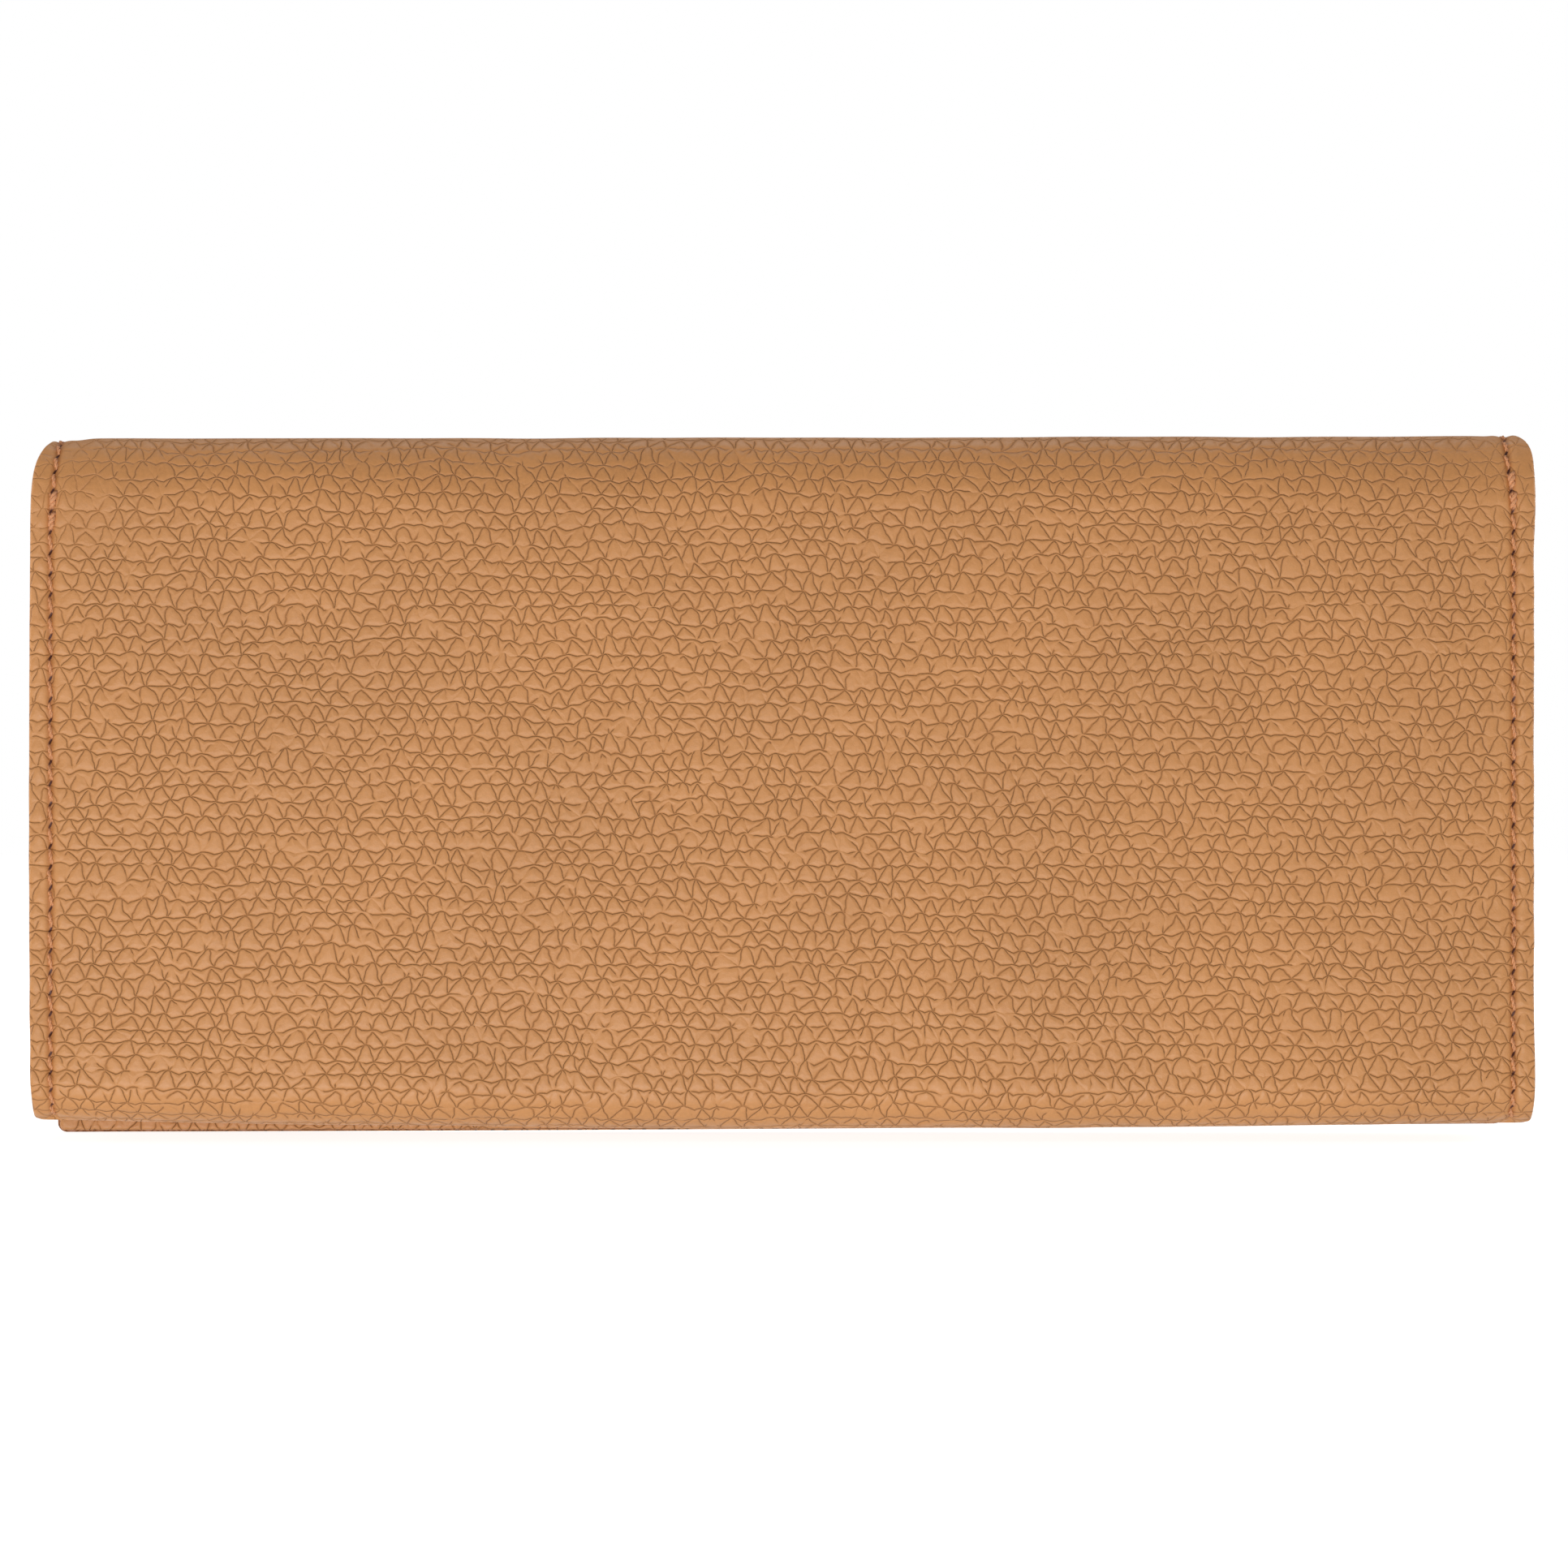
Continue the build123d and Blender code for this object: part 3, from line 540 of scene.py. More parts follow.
def domes(n, x, row):
    """A row's zigzag of creases, as a height over the row's base from 0 to about 1.

    It gives t, which runs from 0 at a dome's foot to 1 under its top, and the crease's height."""
    chance = n.add("ShaderNodeTexWhiteNoise", {"W": row}, noise_dimensions="1D").outputs[0]
    phase = n.math("MULTIPLY_ADD", row, 0.5, n.math("MULTIPLY", chance, 0.24))
    turn = n.math("MULTIPLY_ADD", x, 1 / CELL, phase)
    t = n.math("MULTIPLY", n.math("PINGPONG", turn, 0.5), 2.0)
    which = n.add("ShaderNodeCombineXYZ", {0: n.math("FLOOR", turn), 1: row}).outputs[0]
    luck = n.add("ShaderNodeTexWhiteNoise", {"Vector": which}, noise_dimensions="2D").outputs[0]
    tall = n.math("MULTIPLY_ADD", luck, 0.46, 0.82)
    curve = n.math("SUBTRACT", 1.0, n.math("POWER", n.math("SUBTRACT", 1.0, t), 1.4))
    return t, n.math("MULTIPLY", tall, curve)


def grain(n, place):
    """Pebbled grain: rows of round-topped domes and small triangles parted by creases.

    It gives the way to the nearest crease in millimetres."""
    wide = n.split(n.noise(place, 6.5, 1.0)[1])
    close = n.split(n.noise(place, 1.7, 1.5)[1])
    part = n.split(place)

    def waver(value, axis, wide_by, close_by):
        far = n.math("MULTIPLY_ADD", n.math("SUBTRACT", wide[axis], 0.5), wide_by, value)
        return n.math("MULTIPLY_ADD", n.math("SUBTRACT", close[axis], 0.5), close_by, far)

    x = waver(part[0], 0, 3.4, 0.8)
    up = waver(n.math("MULTIPLY", part[1], -1.0), 1, 2.6, 0.4)
    line = n.math("ROUND", n.math("DIVIDE", up, ROW))
    _, under = domes(n, x, n.math("SUBTRACT", line, 1.0))
    edge = n.math("MULTIPLY_ADD", line, ROW, n.math("MULTIPLY_ADD", under, 0.34, -0.22))
    above = n.math("GREATER_THAN", up, edge)
    row = n.math("ADD", n.math("SUBTRACT", line, 1.0), above)
    t, crease = domes(n, x, row)
    level = n.math("DIVIDE", n.math("MULTIPLY_ADD", row, -ROW, up), ROW)
    slope = n.math("MULTIPLY", n.math("POWER", n.math("SUBTRACT", 1.0, t), 0.4), 2.3)
    steep = n.math("SQRT", n.math("MULTIPLY_ADD", slope, slope, 1.0))
    gap = n.math("MULTIPLY", n.math("ABSOLUTE", n.math("SUBTRACT", crease, level)), ROW)
    slanting = n.math("DIVIDE", gap, steep)
    fade = n.split(n.noise(place, 3.1, 1.0)[1])
    slanting = n.math("ADD", slanting, n.ramp(fade[0], 0.56, 0.72, 0.0, 0.3))
    level_way = n.math("ABSOLUTE", n.math("SUBTRACT", up, edge))
    level_way = n.math("ADD", level_way, n.ramp(fade[1], 0.6, 0.74, 0.0, 0.25))
    return n.math("MAXIMUM", n.math("SMOOTH_MIN", level_way, slanting, 0.15), 0.0)


def small_creases(n, place):
    """Finer creases that show only here and there, as the way to the nearest."""
    inputs = {"Vector": place, "Scale": 0.95, "Randomness": 1.0}
    way = n.add("ShaderNodeTexVoronoi", inputs, feature="DISTANCE_TO_EDGE").outputs[0]
    here = n.noise(place, 4.3, 1.0)[0]
    return n.math("ADD", way, n.ramp(here, 0.42, 0.6, 0.6, 0.1))


def groove(n, way, width):
    """1 in a crease, falling away at its sides."""
    part = n.math("DIVIDE", way, width)
    return n.math("DIVIDE", 1.0, n.math("MULTIPLY_ADD", part, part, 1.0))


def needle_hole_shade(n):
    """1 in the seams' needle holes and 0 elsewhere, with a soft edge; it marks where painted shade darkens
    the holes.
    """
    part = n.split(n.field("seam", "Vector"))
    turn = n.math("DIVIDE", part[1], PITCH)
    beat = n.math("MULTIPLY", n.math("SUBTRACT", turn, n.math("ROUND", turn)), PITCH)
    off = n.math("DIVIDE", n.math("MULTIPLY_ADD", beat, 0.45, part[0]), 0.2)
    along = n.math("DIVIDE", beat, 0.55)
    way = n.math("SQRT", n.math("ADD", n.math("MULTIPLY", off, off), n.math("MULTIPLY", along, along)))
    return n.ramp(way, 0.5, 1.2, 1.0, 0.0)


def seam_shadow(n):
    """A faint painted shadow all along the seams' sunk lines."""
    off = n.math("ABSOLUTE", n.split(n.field("seam", "Vector"))[0])
    return n.ramp(off, 0.1, 0.75, 0.5, 0.0)


def bumps(n, shader, *layers):
    """Bump layers in order, coarse to fine, each a height in millimetres."""
    normal = None
    for height in layers:
        node = n.add("ShaderNodeBump", {"Height": height, "Strength": 1.0, "Distance": MM})
        if normal:
            n.set(node.inputs["Normal"], normal)
        normal = node.outputs[0]
    n.set(shader.inputs["Normal"], normal)


PATCH = 24.0              # the size of the leather's faint patches


def mottle(n, place, colour):
    """A colour with faint patches and fine flecks."""
    patch = n.noise(place, PATCH, 2.0)[0]
    fleck = n.noise(place, 0.45, 3.0, 0.6)[0]
    base = n.mix(n.ramp(patch, 0.3, 0.7), shade(colour, 1.012), shade(colour, 0.972))
    return n.mix(n.ramp(fleck, 0.35, 0.75, 0.0, 0.45), base, shade(colour, 1.07))


def pebbled_leather(name, colour, crease, edge):
    """Tan calf with an embossed pebble grain; crease is the colour of the painted shade in its creases and
    along its seams, and edge the colour of its cut edges and hidden side.
    """
    material, n, shader = new_material(name)
    place = n.field("skin", "Vector")
    relief = n.field("relief")
    way = grain(n, place)
    main = groove(n, way, 0.054)
    small = groove(n, small_creases(n, place), 0.09)
    body = n.math("SQRT", n.ramp(way, -0.1, 0.9))
    deep = n.math("MULTIPLY", main, relief)
    height = n.math("MULTIPLY", deep, -GROOVE_DEEP)
    height = n.math("MULTIPLY_ADD", n.math("MULTIPLY", body, relief), PILLOW, height)
    height = n.math("MULTIPLY_ADD", small, -0.016, height)
    micro = n.math("MULTIPLY", n.noise(place, 0.2, 3.0, 0.65)[0], MICRO)
    # Painted shade: the grain's creases, and more faintly the small creases, are darkened towards the
    # crease colour.
    crease_shade = n.math("MULTIPLY", deep, 0.4)
    base = n.mix(crease_shade, mottle(n, place, colour), srgb(*crease))
    base = n.mix(n.math("MULTIPLY", small, 0.22), base, srgb(*crease))
    base = n.mix(seam_shadow(n), base, srgb(*crease))
    # Painted shade: the needle holes are darkened to a deep brown.
    base = n.mix(needle_hole_shade(n), base, srgb(74, 28, 12))
    wall = n.ramp(n.split(place)[2], 0.3, 1.2)
    base = n.mix(wall, base, srgb(*edge))
    n.set(shader.inputs["Base Color"], base)
    n.set(shader.inputs["Roughness"], n.ramp(way, 0.0, 0.5, 0.6, 0.45))
    shader.inputs["Specular IOR Level"].default_value = 0.4
    bumps(n, shader, height, micro)
    return material


def smooth_leather(name, colour, pore):
    """Smooth lining leather with fine pores, darkened as painted shade."""
    material, n, shader = new_material(name)
    place = n.field("skin", "Vector")
    inputs = {"Vector": place, "Scale": 1.5, "Randomness": 1.0}
    pores = n.add("ShaderNodeTexVoronoi", inputs, feature="DISTANCE_TO_EDGE").outputs[0]
    dark = groove(n, pores, 0.05)
    # Painted shade: the pores are darkened towards the pore colour.
    base = n.mix(n.math("MULTIPLY", dark, 0.4), mottle(n, place, colour), srgb(*pore))
    n.set(shader.inputs["Base Color"], base)
    n.set(shader.inputs["Roughness"], n.ramp(n.noise(place, 3.0)[0], 0.3, 0.7, 0.5, 0.62))
    shader.inputs["Specular IOR Level"].default_value = 0.35
    micro = n.math("MULTIPLY", n.noise(place, 0.25, 3.0, 0.6)[0], 0.02)
    bumps(n, shader, n.math("MULTIPLY", dark, -0.03), micro)
    return material


def object_place(n):
    """The object's own coordinates in millimetres."""
    inside = n.add("ShaderNodeTexCoord").outputs["Object"]
    return n.add("ShaderNodeVectorMath", {0: inside, 3: 1000.0}, operation="SCALE").outputs[0]


def metal(name, colour, rough):
    """Brushed plated metal with faint wear."""
    material, n, shader = new_material(name)
    place = object_place(n)
    wear = n.noise(place, 1.6, 4.0, 0.6)[0]
    base = n.mix(n.ramp(wear, 0.35, 0.75), srgb(*colour), shade(colour, 0.86))
    n.set(shader.inputs["Base Color"], base)
    n.set(shader.inputs["Roughness"], n.ramp(n.noise(place, 0.3, 3.0)[0], 0.3, 0.7, rough, rough + 0.14))
    shader.inputs["Metallic"].default_value = 1.0
    bumps(n, shader, n.math("MULTIPLY", n.noise(place, 0.15, 2.0)[0], 0.004))
    return material


def woven_tape(name, colour):
    """Twill tape: slanting ribs crossed by the weave, with painted shade in the ribs' hollows."""
    material, n, shader = new_material(name)
    part = n.split(object_place(n))
    slant = n.math("ADD", part[0], part[2])
    rib = n.math("PINGPONG", n.math("DIVIDE", slant, 0.5), 0.5)
    cross = n.math("PINGPONG", n.math("DIVIDE", n.math("SUBTRACT", part[0], part[2]), 0.28), 0.5)
    height = n.math("ADD", n.math("MULTIPLY", rib, 0.12), n.math("MULTIPLY", cross, 0.05))
    # Painted shade: the ribs' hollows are darker.
    base = n.mix(n.math("MULTIPLY", rib, 2.0), shade(colour, 0.8), srgb(*colour))
    n.set(shader.inputs["Base Color"], base)
    shader.inputs["Roughness"].default_value = 0.85
    bumps(n, shader, height)
    return material


def thread_material(name, colour, dark):
    """Waxed thread, light in its own colour, with painted shade darkening each stitch's ends where it
    dives into the needle holes.
    """
    material, n, shader = new_material(name)
    place = object_place(n)
    fibre = n.noise(place, 0.16, 3.0, 0.6)[0]
    base = n.mix(n.ramp(fibre, 0.3, 0.7), shade(colour, 0.85), shade(colour, 1.1))
    # Painted shade: each stitch darkens towards its ends, where it dives into the needle holes.
    base = n.mix(n.ramp(n.field("tone"), 0.25, 0.95), base, srgb(*dark))
    n.set(shader.inputs["Base Color"], base)
    shader.inputs["Roughness"].default_value = 0.6
    shader.inputs["Sheen Weight"].default_value = 0.1
    bumps(n, shader, n.math("MULTIPLY", fibre, 0.03))
    return material


def board_material(name):
    """Grey stiffening board with a fibrous face."""
    material, n, shader = new_material(name)
    place = object_place(n)
    fibre = n.noise(place, 0.6, 4.0, 0.7)[0]
    base = n.mix(n.ramp(fibre, 0.3, 0.7), srgb(150, 142, 128), srgb(178, 170, 156))
    n.set(shader.inputs["Base Color"], base)
    shader.inputs["Roughness"].default_value = 0.9
    bumps(n, shader, n.math("MULTIPLY", fibre, 0.05))
    return material


GROOVE_DEEP = 0.14
PILLOW = 0.11
MICRO = 0.03
TAN = (205, 143, 86)
# Each leather's second colour is its painted shade in the creases; the third is its cut edges' own colour.
PEBBLED = pebbled_leather("pebbled_leather", TAN, (158, 88, 22), (150, 92, 48))
# The flap's facing: the same pebbled leather, painted a little darker as the shade it lies in.
SHADED_FACING = pebbled_leather("facing_leather_painted_shade", (193, 133, 79), (144, 78, 20), (150, 92, 48))
SMOOTH = smooth_leather("lining_leather", (176, 122, 78), (120, 76, 42))
CARD = smooth_leather("card_leather", (186, 131, 84), (128, 82, 46))
THREAD = thread_material("thread", (216, 148, 98), (92, 40, 20))
TAPE = woven_tape("zip_tape", (122, 82, 52))
ZIP_METAL = metal("zip_metal", (222, 196, 142), 0.24)
BRASS = metal("snap_brass", (226, 196, 136), 0.2)
BOARD = board_material("board")


def paint(material, *nodes):
    """Give CAD nodes a better material in their own slots."""
    for node in nodes:
        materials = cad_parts[node].data.materials
        for slot in range(len(materials)):
            materials[slot] = material


def bend(piece):
    """Bake a piece's transform into its mesh."""
    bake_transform(piece)


def skin_fields(sheet):
    """Where the grain is pulled smooth, and where the seams are."""
    x, s = sheet.x, sheet.along
    z = section(s)[1]
    relief = np.ones_like(x)
    signed = x - np.sign(x) * seam_x(s)
    off_sides = np.abs(signed)
    relief *= 1 - 0.3 * hump(off_sides, 2.2)
    relief *= 1 - 0.45 * hump(x + 92, 10) * ease(z, TOP - 20, TOP - 7)
    relief *= 1 - 0.4 * hump(x - 92, 9) * ease(z, TOP - 16, TOP - 5)
    relief *= 1 - 0.25 * hump(s, 8)
    off_edges = [s - line for line in edge_seams()]
    off_edge = np.where(np.abs(off_edges[0]) < np.abs(off_edges[1]), *off_edges)
    nearer = np.abs(off_edge) < off_sides
    off = np.where(nearer, off_edge, signed)
    off = np.where((s > MARGIN_S[-1] - 1) & (s < BASE_MIDDLE + 9), 9, off)
    sheet.fields["relief"] = relief
    sheet.fields["seam"] = np.stack([off, np.where(nearer, x, s), 0 * x], 2)


def skin_sheet(name, span, free, replaced):
    """One panel of the pebbled outer leather."""
    sheet = Sheet(name, span, (0.0, LEATHER), skin_half, free, shift=lift, fine=4.5)
    sheet.rise += soft_height(sheet.x, sheet.along)
    skin_fields(sheet)
    piece = sheet.build(PEBBLED)
    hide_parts(*replaced)
    bend(piece)


def lining_half(s, side):
    """Half the lining's width, a little inside the leather."""
    return skin_half(s, side) - 0.3


def lining_lift(x, s):
    """As the leather's lift, but less at the base, where the lining stays under the coin pocket."""
    return lift(x, s) * np.where(s > 30, 0.35, 1.0)


def snap_recess(sheet):
    """How far the flap's lining is pressed in round the snap's socket."""
    middle = (SNAP_LOW + SNAP_HIGH) / 2
    reach = SNAP_HIGH[0] - middle[0]
    way = np.hypot(sheet.x - middle[0], section(sheet.along)[1] - middle[2])
    return 0.55 * (1 - ease(way, reach, reach + 0.6))


def lining_sheet(name, span, free, replaced, material):
    """One panel of lining, bonded inside the leather."""
    sheet = Sheet(name, span, (SHEET, LEATHER), lining_half, free, edge=0.4,
                  shift=lining_lift, step=0.6)
    sheet.rise += 0.05 * ripple(sheet.x, sheet.along, 30, 31) - 0.05
    if "flap" in name:
        sheet.rise -= snap_recess(sheet)
    sheet.fields["seam"] = np.full((*sheet.x.shape, 3), 9.0)
    piece = sheet.build(material)
    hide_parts(*replaced)
    bend(piece)


def skins():
    """The pebbled leather, as three panels that read as one."""
    skin_sheet("skin_back", (0, BASE_MIDDLE), (False, False), ["back_leather", "spine_leather"])
    skin_sheet("skin_front", (BASE_MIDDLE, FRONT_END), (False, True), ["front_leather"])
    skin_sheet("skin_flap", (FLAP_END, 0), (True, False), ["flap_leather"])


def linings():
    """The linings of the back, the front wall and the flap."""
    lining_sheet("lining_back", (0, BASE_MIDDLE), (False, False), ["back_lining", "spine_lining"],
                 SMOOTH)
    lining_sheet("lining_front", (BASE_MIDDLE, FRONT_END - 0.3), (False, True), ["front_lining"],
                 SMOOTH)
    lining_sheet("lining_flap", (FLAP_END + 0.3, 0), (True, False), ["flap_lining"],
                 SHADED_FACING)


# ---- seams on the skin ----
FRONT_SEAM_LOW = s_at_height(BASE + TOE + 1, BASE_MIDDLE, FRONT_END)


def thread_piece(thread, name, node):
    """The gathered stitches as one piece, in place of the CAD seam."""
    piece = thread.build(name)
    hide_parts(node)
    return piece


def back_seam(side, label, doubled):
    """A seam down one side of the back, doubled near its top where the stitching began."""
    thread = Thread(41 + side)
    place = down_seam(side)
    thread.run(place, 2 * PITCH, MARGIN_S[side], lean=0.42)
    low, high = [s_at_height(z, 3, 40) for z in doubled]
    first = math.ceil(high / PITCH)
    last = math.floor(low / PITCH)
    for k in range(first, last + 1):
        thread.stitch(place, (k + 0.03) * PITCH, PITCH * 0.94, -0.34, 1.6, off=0.2, up=0.16)
    piece = thread_piece(thread, f"seam_back_{label}", f"back_seam_{label}")
    bend(piece)


def seams():
    """The hand-sewn seams on the outer leather."""
    back_seam(-1, "left", (77.8, 84.0))
    back_seam(1, "right", (81.0, 87.0))
    spine, flap, front = Thread(51), Thread(52), Thread(53)
    flap_line, front_line = edge_seams()
    across = 34 * PITCH
    for side in (-1, 1):
        spine.run(down_seam(side), -2 * PITCH, 2 * PITCH + 0.1)
        flap.run(down_seam(side), flap_line + 0.5, -2 * PITCH + 0.1)
        front.run(down_seam(side), FRONT_SEAM_LOW, front_line - 0.3)
    flap.run(across_seam(flap_line), -across - 0.1, across + 0.1, lean=0.2)
    front.run(across_seam(front_line), -across - 0.1, across + 0.1, lean=0.2)
    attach(thread_piece(spine, "seam_spine", "spine_seam"), "spine")
    bend(thread_piece(flap, "seam_flap", "flap_seam"))
    bend(thread_piece(front, "seam_front", "front_seam"))


# ---- inside: gussets, card pockets and coin pocket ----
def flat_place(y, facing):
    """An upright plane at y that faces the front (1) or the back (-1)."""
    def place(s):
        s = np.asarray(s, float)
        return y + 0 * s, s, facing + 0 * s, 0 * s
    return place


def inner_sheet(node, body, facing):
    """A thin inner panel with rounded edges, in a CAD panel's place."""
    low, high = box(node)
    thick = high[1] - low[1]
    face = high[1] if facing > 0 else low[1]

    def half(s, side):
        return high[0] + 0 * s

    sheet = Sheet("soft_" + node, (low[2], high[2]), (0.0, thick), half, (True, True), edge=thick * 0.45,
                  place=flat_place(face, facing), step=1.6)
    piece = sheet.build(CARD)
    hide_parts(node)
    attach(piece, body)


def smooth_line(points):
    """A line with its corners cut round, three times over."""
    points = np.asarray(points, float)
    for _ in range(3):
        near = 0.75 * points[:-1] + 0.25 * points[1:]
        far = 0.25 * points[:-1] + 0.75 * points[1:]
        cut = np.stack([near, far], 1).reshape(-1, 2)
        points = np.concatenate([points[:1], cut, points[-1:]])
    return points


def strip_faces(rows, count):
    """A closed strip's faces: rings of count vertices, row after row, and a cap at each end."""
    faces = grid_faces(rows, count, wrap=True)
    for base, turn in ((0, 1), ((rows - 1) * count, -1)):
        near = range(base, base + count // 2 - 1)
        last = 2 * base + count - 1
        caps = [[i, i + 1, last - i - 1, last - i] for i in near]
        faces += [cap[::turn] for cap in caps]
    return faces


def gusset_low(y, rear, front, low):
    """The gusset's lower edge, round at both corners to sit in the lining's bends."""
    rear_part = rounding(np.clip(y - rear, 0, None), BASE_ROLL - SHEET + 0.3)
    front_part = rounding(np.clip(front - y, 0, None), TOE - SHEET + 0.3)
    return low + rear_part + front_part


def gusset(side, label):
    """A side gusset: two inward pleats in one soft strip."""
    low, high = box(f"gusset_{label}")
    rear, front = low[1], high[1]
    reach = max(abs(low[0]), abs(high[0]))
    fold = min(abs(low[0]), abs(high[0])) + 0.3
    card_y, coin_y = box("card_panel")[0][1], box("coin_pocket_front")[1][1]
    line = [(reach, rear + 0.3), (88.5, rear + 0.3), (fold, (rear + card_y) / 2), (93.6, card_y - 0.6),
            (93.6, coin_y + 0.3), (fold, (coin_y + front) / 2), (88.5, front - 0.3), (93.4, front - 0.3)]
    line = smooth_line(line)
    line[:, 0] *= side
    way = np.gradient(line, axis=0)
    way /= np.linalg.norm(way, axis=1, keepdims=True)
    across = np.stack([-way[:, 1], way[:, 0]], 1) * 0.3
    ring = np.concatenate([line + across, (line - across)[::-1]])
    ring[:, 1] = np.clip(ring[:, 1], rear + 0.01, front - 0.01)
    bottom = gusset_low(ring[:, 1], rear, front, low[2])
    rows = []
    for t in np.linspace(0, 1, 48):
        z = bottom + (high[2] - bottom) * t
        sway = 0.18 * ripple(z, ring[:, 1], 22, 61) * math.sin(math.pi * t)
        rows.append(np.stack([ring[:, 0] + sway, ring[:, 1], z], 1))
    faces = strip_faces(len(rows), len(ring))
    vertices = np.concatenate(rows)
    run = np.concatenate([[0], np.cumsum(np.hypot(*np.diff(ring, axis=0).T))])
    skin = np.stack([np.tile(run, len(rows)), vertices[:, 2], 0 * vertices[:, 2]], 1)
    piece = make_object(f"soft_gusset_{label}", vertices, faces, {"skin": skin}, SMOOTH, 50)
    turn_outwards(piece)
    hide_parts(f"gusset_{label}")
    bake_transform(piece)


def pocket_outline(reach, low, high, radius):
    """A U down one side, round its corner and across to the middle line, mirrored; as (x, z)."""
    turn = np.linspace(0, math.pi / 2, 8)
    corner = np.stack([-reach + radius * (1 - np.cos(turn)), low + radius * (1 - np.sin(turn))], 1)
    down = np.arange(high, low + radius + 0.5, -1.0)
    across = np.arange(-reach + radius + 1, -0.5, 1.0)
    left = np.concatenate([np.stack([0 * down - reach, down], 1), corner,
                           np.stack([across, 0 * across + low], 1)])
    return np.concatenate([left, [[0, low]], left[::-1] * [-1, 1]])


def coin_gusset():
    """The coin pocket's gusset: a strip round its sides and base, drawn in along its middle."""
    low, high = box("coin_pocket_gusset")
    half = (box("coin_pocket_front")[1][1] - high[1]) / 2
    line = pocket_outline(high[0] - half, low[2] + half, high[2], 1.5)
    way = np.gradient(line, axis=0)
    way /= np.linalg.norm(way, axis=1, keepdims=True)
    inward = np.stack([-way[:, 1], way[:, 0]], 1)
    across = np.linspace(0, 1, 13)
    drawn_in = 0.7 * np.sin(math.pi * across) ** 1.5
    depth = np.concatenate([drawn_in - half, (drawn_in + half)[::-1]])
    y = low[1] + (high[1] - low[1]) * np.concatenate([across, across[::-1]])
    ring = np.stack([line[:, None, 0] + inward[:, None, 0] * depth, np.tile(y, (len(line), 1)),
                     line[:, None, 1] + inward[:, None, 1] * depth], 2)
    along = np.repeat(np.arange(len(line), dtype=float), len(y))
    skin = np.stack([along, np.tile(y, len(line)), 0 * along], 1)
    faces = strip_faces(len(line), len(y))
    piece = make_object("soft_coin_gusset", ring.reshape(-1, 3), faces, {"skin": skin}, CARD, 50)
    turn_outwards(piece)
    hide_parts("coin_pocket_gusset")
    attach(piece, "coin")


def plain_seam(node, name, runs, body):
    """A fine machine seam on an inner panel; runs are (place, start, end)."""
    thread = Thread(len(name))
    for place, start, end in runs:
        thread.run(place, start, end, lean=0.08, size=0.5)
    piece = thread_piece(thread, name, node)
    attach(piece, body)


def upright(x, y):
    """Points of an upright seam on a panel that faces the front."""
    def place(along, off, up):
        return np.stack([x + off, y + 0.45 * up, along], -1)
    return place


def level(y, z):
    """Points of a level seam on a panel that faces the front."""
    def place(along, off, up):
        return np.stack([along, y + 0.45 * up, z + off], -1)
    return place


def card_pockets():
    """The card panel, its stepped pockets and the seam that parts them in two columns."""
    inner_sheet("card_panel", "body", 1)
    faces = []
    for number in range(1, 5):
        inner_sheet(f"card_pocket_{number}", "body", 1)
        low, high = box(f"card_pocket_{number}")
        faces.append((high[1], high[2]))
    lows = [top for _, top in faces[1:]] + [box("card_pocket_4")[0][2] + 1]
    runs = [(upright(0, y), low, top - 0.3) for (y, top), low in zip(faces, lows)]
    plain_seam("card_seam", "seam_cards", runs, "body")


def coin_pocket():
    """The coin pocket's walls, its gusset, and its seams."""
    inner_sheet("coin_pocket_back", "coin", -1)
    inner_sheet("coin_pocket_front", "coin", 1)
    coin_gusset()
    low, high = box("coin_seam")
    face = box("coin_pocket_front")[1][1]
    x = high[0] - 0.12
    runs = [(upright(side * x, face), low[2], high[2]) for side in (-1, 1)]
    plain_seam("coin_seam", "seam_coin", runs, "coin")
    low, high = box("zip_seam")
    plain_seam("zip_seam", "seam_zip", [(level(face, (low[2] + high[2]) / 2), low[0], high[0])], "coin")


skins()
linings()
seams()
gusset(-1, "left")
gusset(1, "right")
card_pockets()
coin_pocket()
paint(TAPE, "zip_tape_back", "zip_tape_front")
paint(ZIP_METAL, "zip_teeth_back", "zip_teeth_front", "zip_stops", "zip_slider", "zip_puller")
paint(BRASS, "snap_cap", "snap_socket", "snap_stud", "snap_post")
paint(BOARD, "back_stiffener", "front_stiffener", "flap_stiffener")


# ---- camera, lights and floor ----
def look_from(distance, height, across, width):
    """A level camera square to the back, whose picture is that wide where the back is."""
    data = bpy.data.cameras.new("camera")
    data.sensor_width = 36
    data.lens = data.sensor_width * distance / width
    data.clip_start = 0.01
    camera = bpy.data.objects.new("camera", data)
    camera.location = (across * MM, (BACK_Y - distance) * MM, height * MM)
    camera.rotation_euler = (math.radians(90), 0, 0)
    bpy.context.scene.collection.objects.link(camera)
    bpy.context.scene.camera = camera


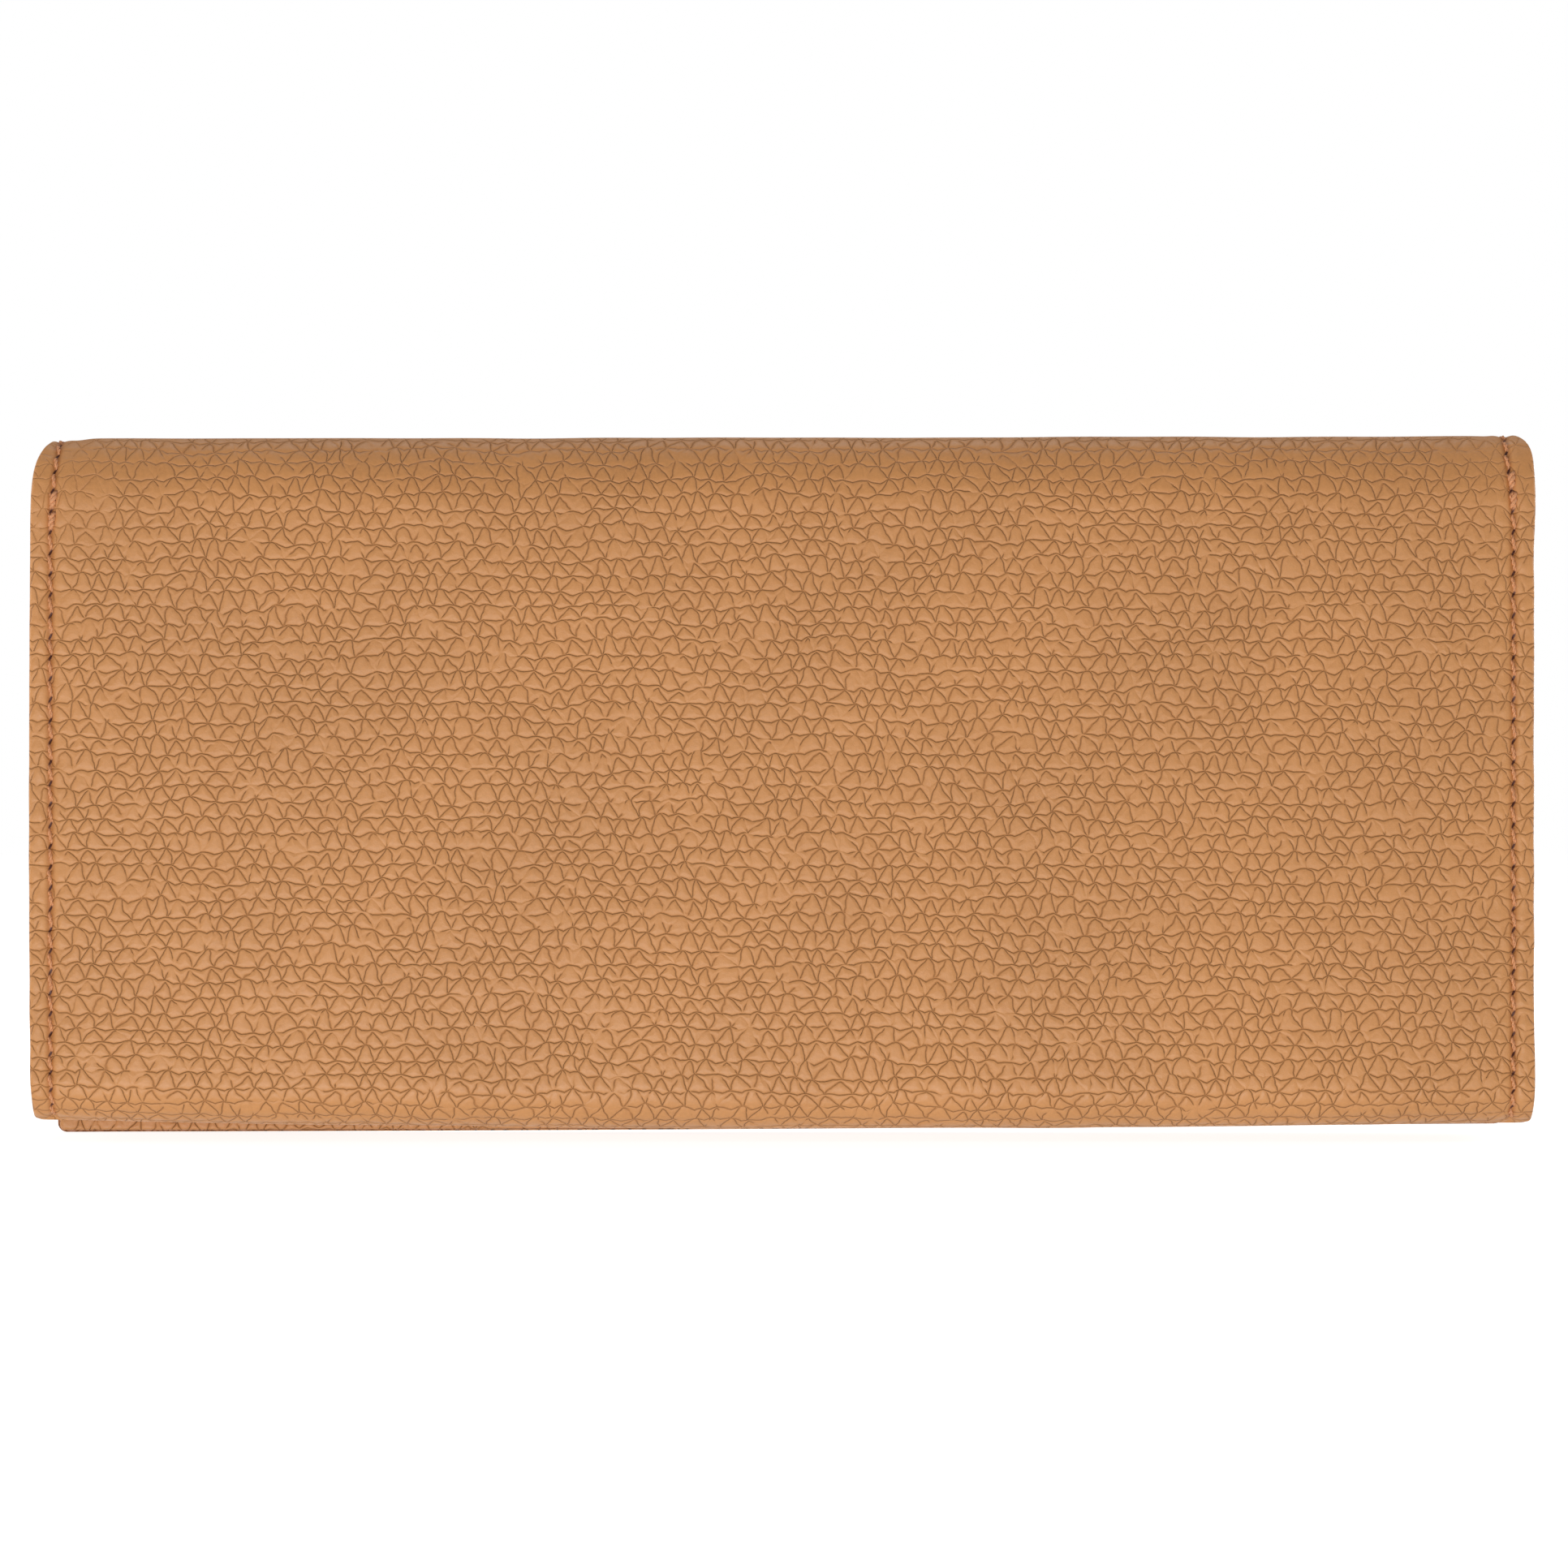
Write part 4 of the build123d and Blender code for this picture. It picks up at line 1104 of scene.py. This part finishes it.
def area_light(name, place, aim, size, watts):
    """A soft square light at place, aimed at a point, both in metres."""
    data = bpy.data.lights.new(name, "AREA")
    data.size = size
    data.energy = watts
    light = bpy.data.objects.new(name, data)
    light.location = place
    way = np.array(aim, float) - np.array(place, float)
    pitch = math.atan2(math.hypot(way[0], way[1]), -way[2])
    light.rotation_euler = (pitch, 0, math.atan2(-way[0], way[1]))
    bpy.context.scene.collection.objects.link(light)


def floor_and_world():
    """A pale floor in white surroundings. It shines a little, as a light table does, and lets the
    key light through from below."""
    material, _, shader = new_material("pale_floor")
    shader.inputs["Base Color"].default_value = (0.35, 0.35, 0.35, 1)
    shader.inputs["Roughness"].default_value = 0.9
    shader.inputs["Emission Color"].default_value = (1, 1, 1, 1)
    shader.inputs["Emission Strength"].default_value = 0.87
    reach = 3000.0
    corners = [(-reach, -reach, 0), (reach, -reach, 0), (reach, reach, 0), (-reach, reach, 0)]
    floor = make_object("floor", corners, [(0, 1, 2, 3)], None, material)
    floor.visible_shadow = False
    floor.visible_diffuse = False
    world = bpy.data.worlds.new("world")
    bpy.context.scene.world = world
    world.use_nodes = True
    world.node_tree.nodes.clear()
    w = Nodes(world.node_tree)
    seen = w.add("ShaderNodeBackground", {"Color": (1, 1, 1, 1), "Strength": 1.0})
    lit = w.add("ShaderNodeBackground", {"Color": (1, 1, 1, 1), "Strength": AMBIENT})
    ray = w.add("ShaderNodeLightPath").outputs["Is Camera Ray"]
    mix = w.add("ShaderNodeMixShader", {0: ray, 1: lit.outputs[0], 2: seen.outputs[0]})
    w.add("ShaderNodeOutputWorld", {0: mix.outputs[0]})


AMBIENT = 0.34            # how strongly the surroundings light the wallet
KEY = 5.9                 # the key light's watts
look_from(distance=750, height=45.34, across=0.26, width=198.2)
floor_and_world()
centre = (0, 0, 0.5 * TOP * MM)
area_light("key", (-0.16, -0.85, -0.38), centre, 0.4, KEY)
area_light("far_key", (0.3, 0.85, 0.0), centre, 0.5, KEY)
area_light("left_fill", (-0.9, 0.1, 0.25), centre, 0.5, KEY * 0.5)
area_light("right_fill", (0.9, 0.1, 0.25), centre, 0.5, KEY * 0.5)
area_light("rim", (0.0, 0.3, 0.95), centre, 0.5, KEY * 0.3)
bpy.context.scene.view_settings.view_transform = "Standard"
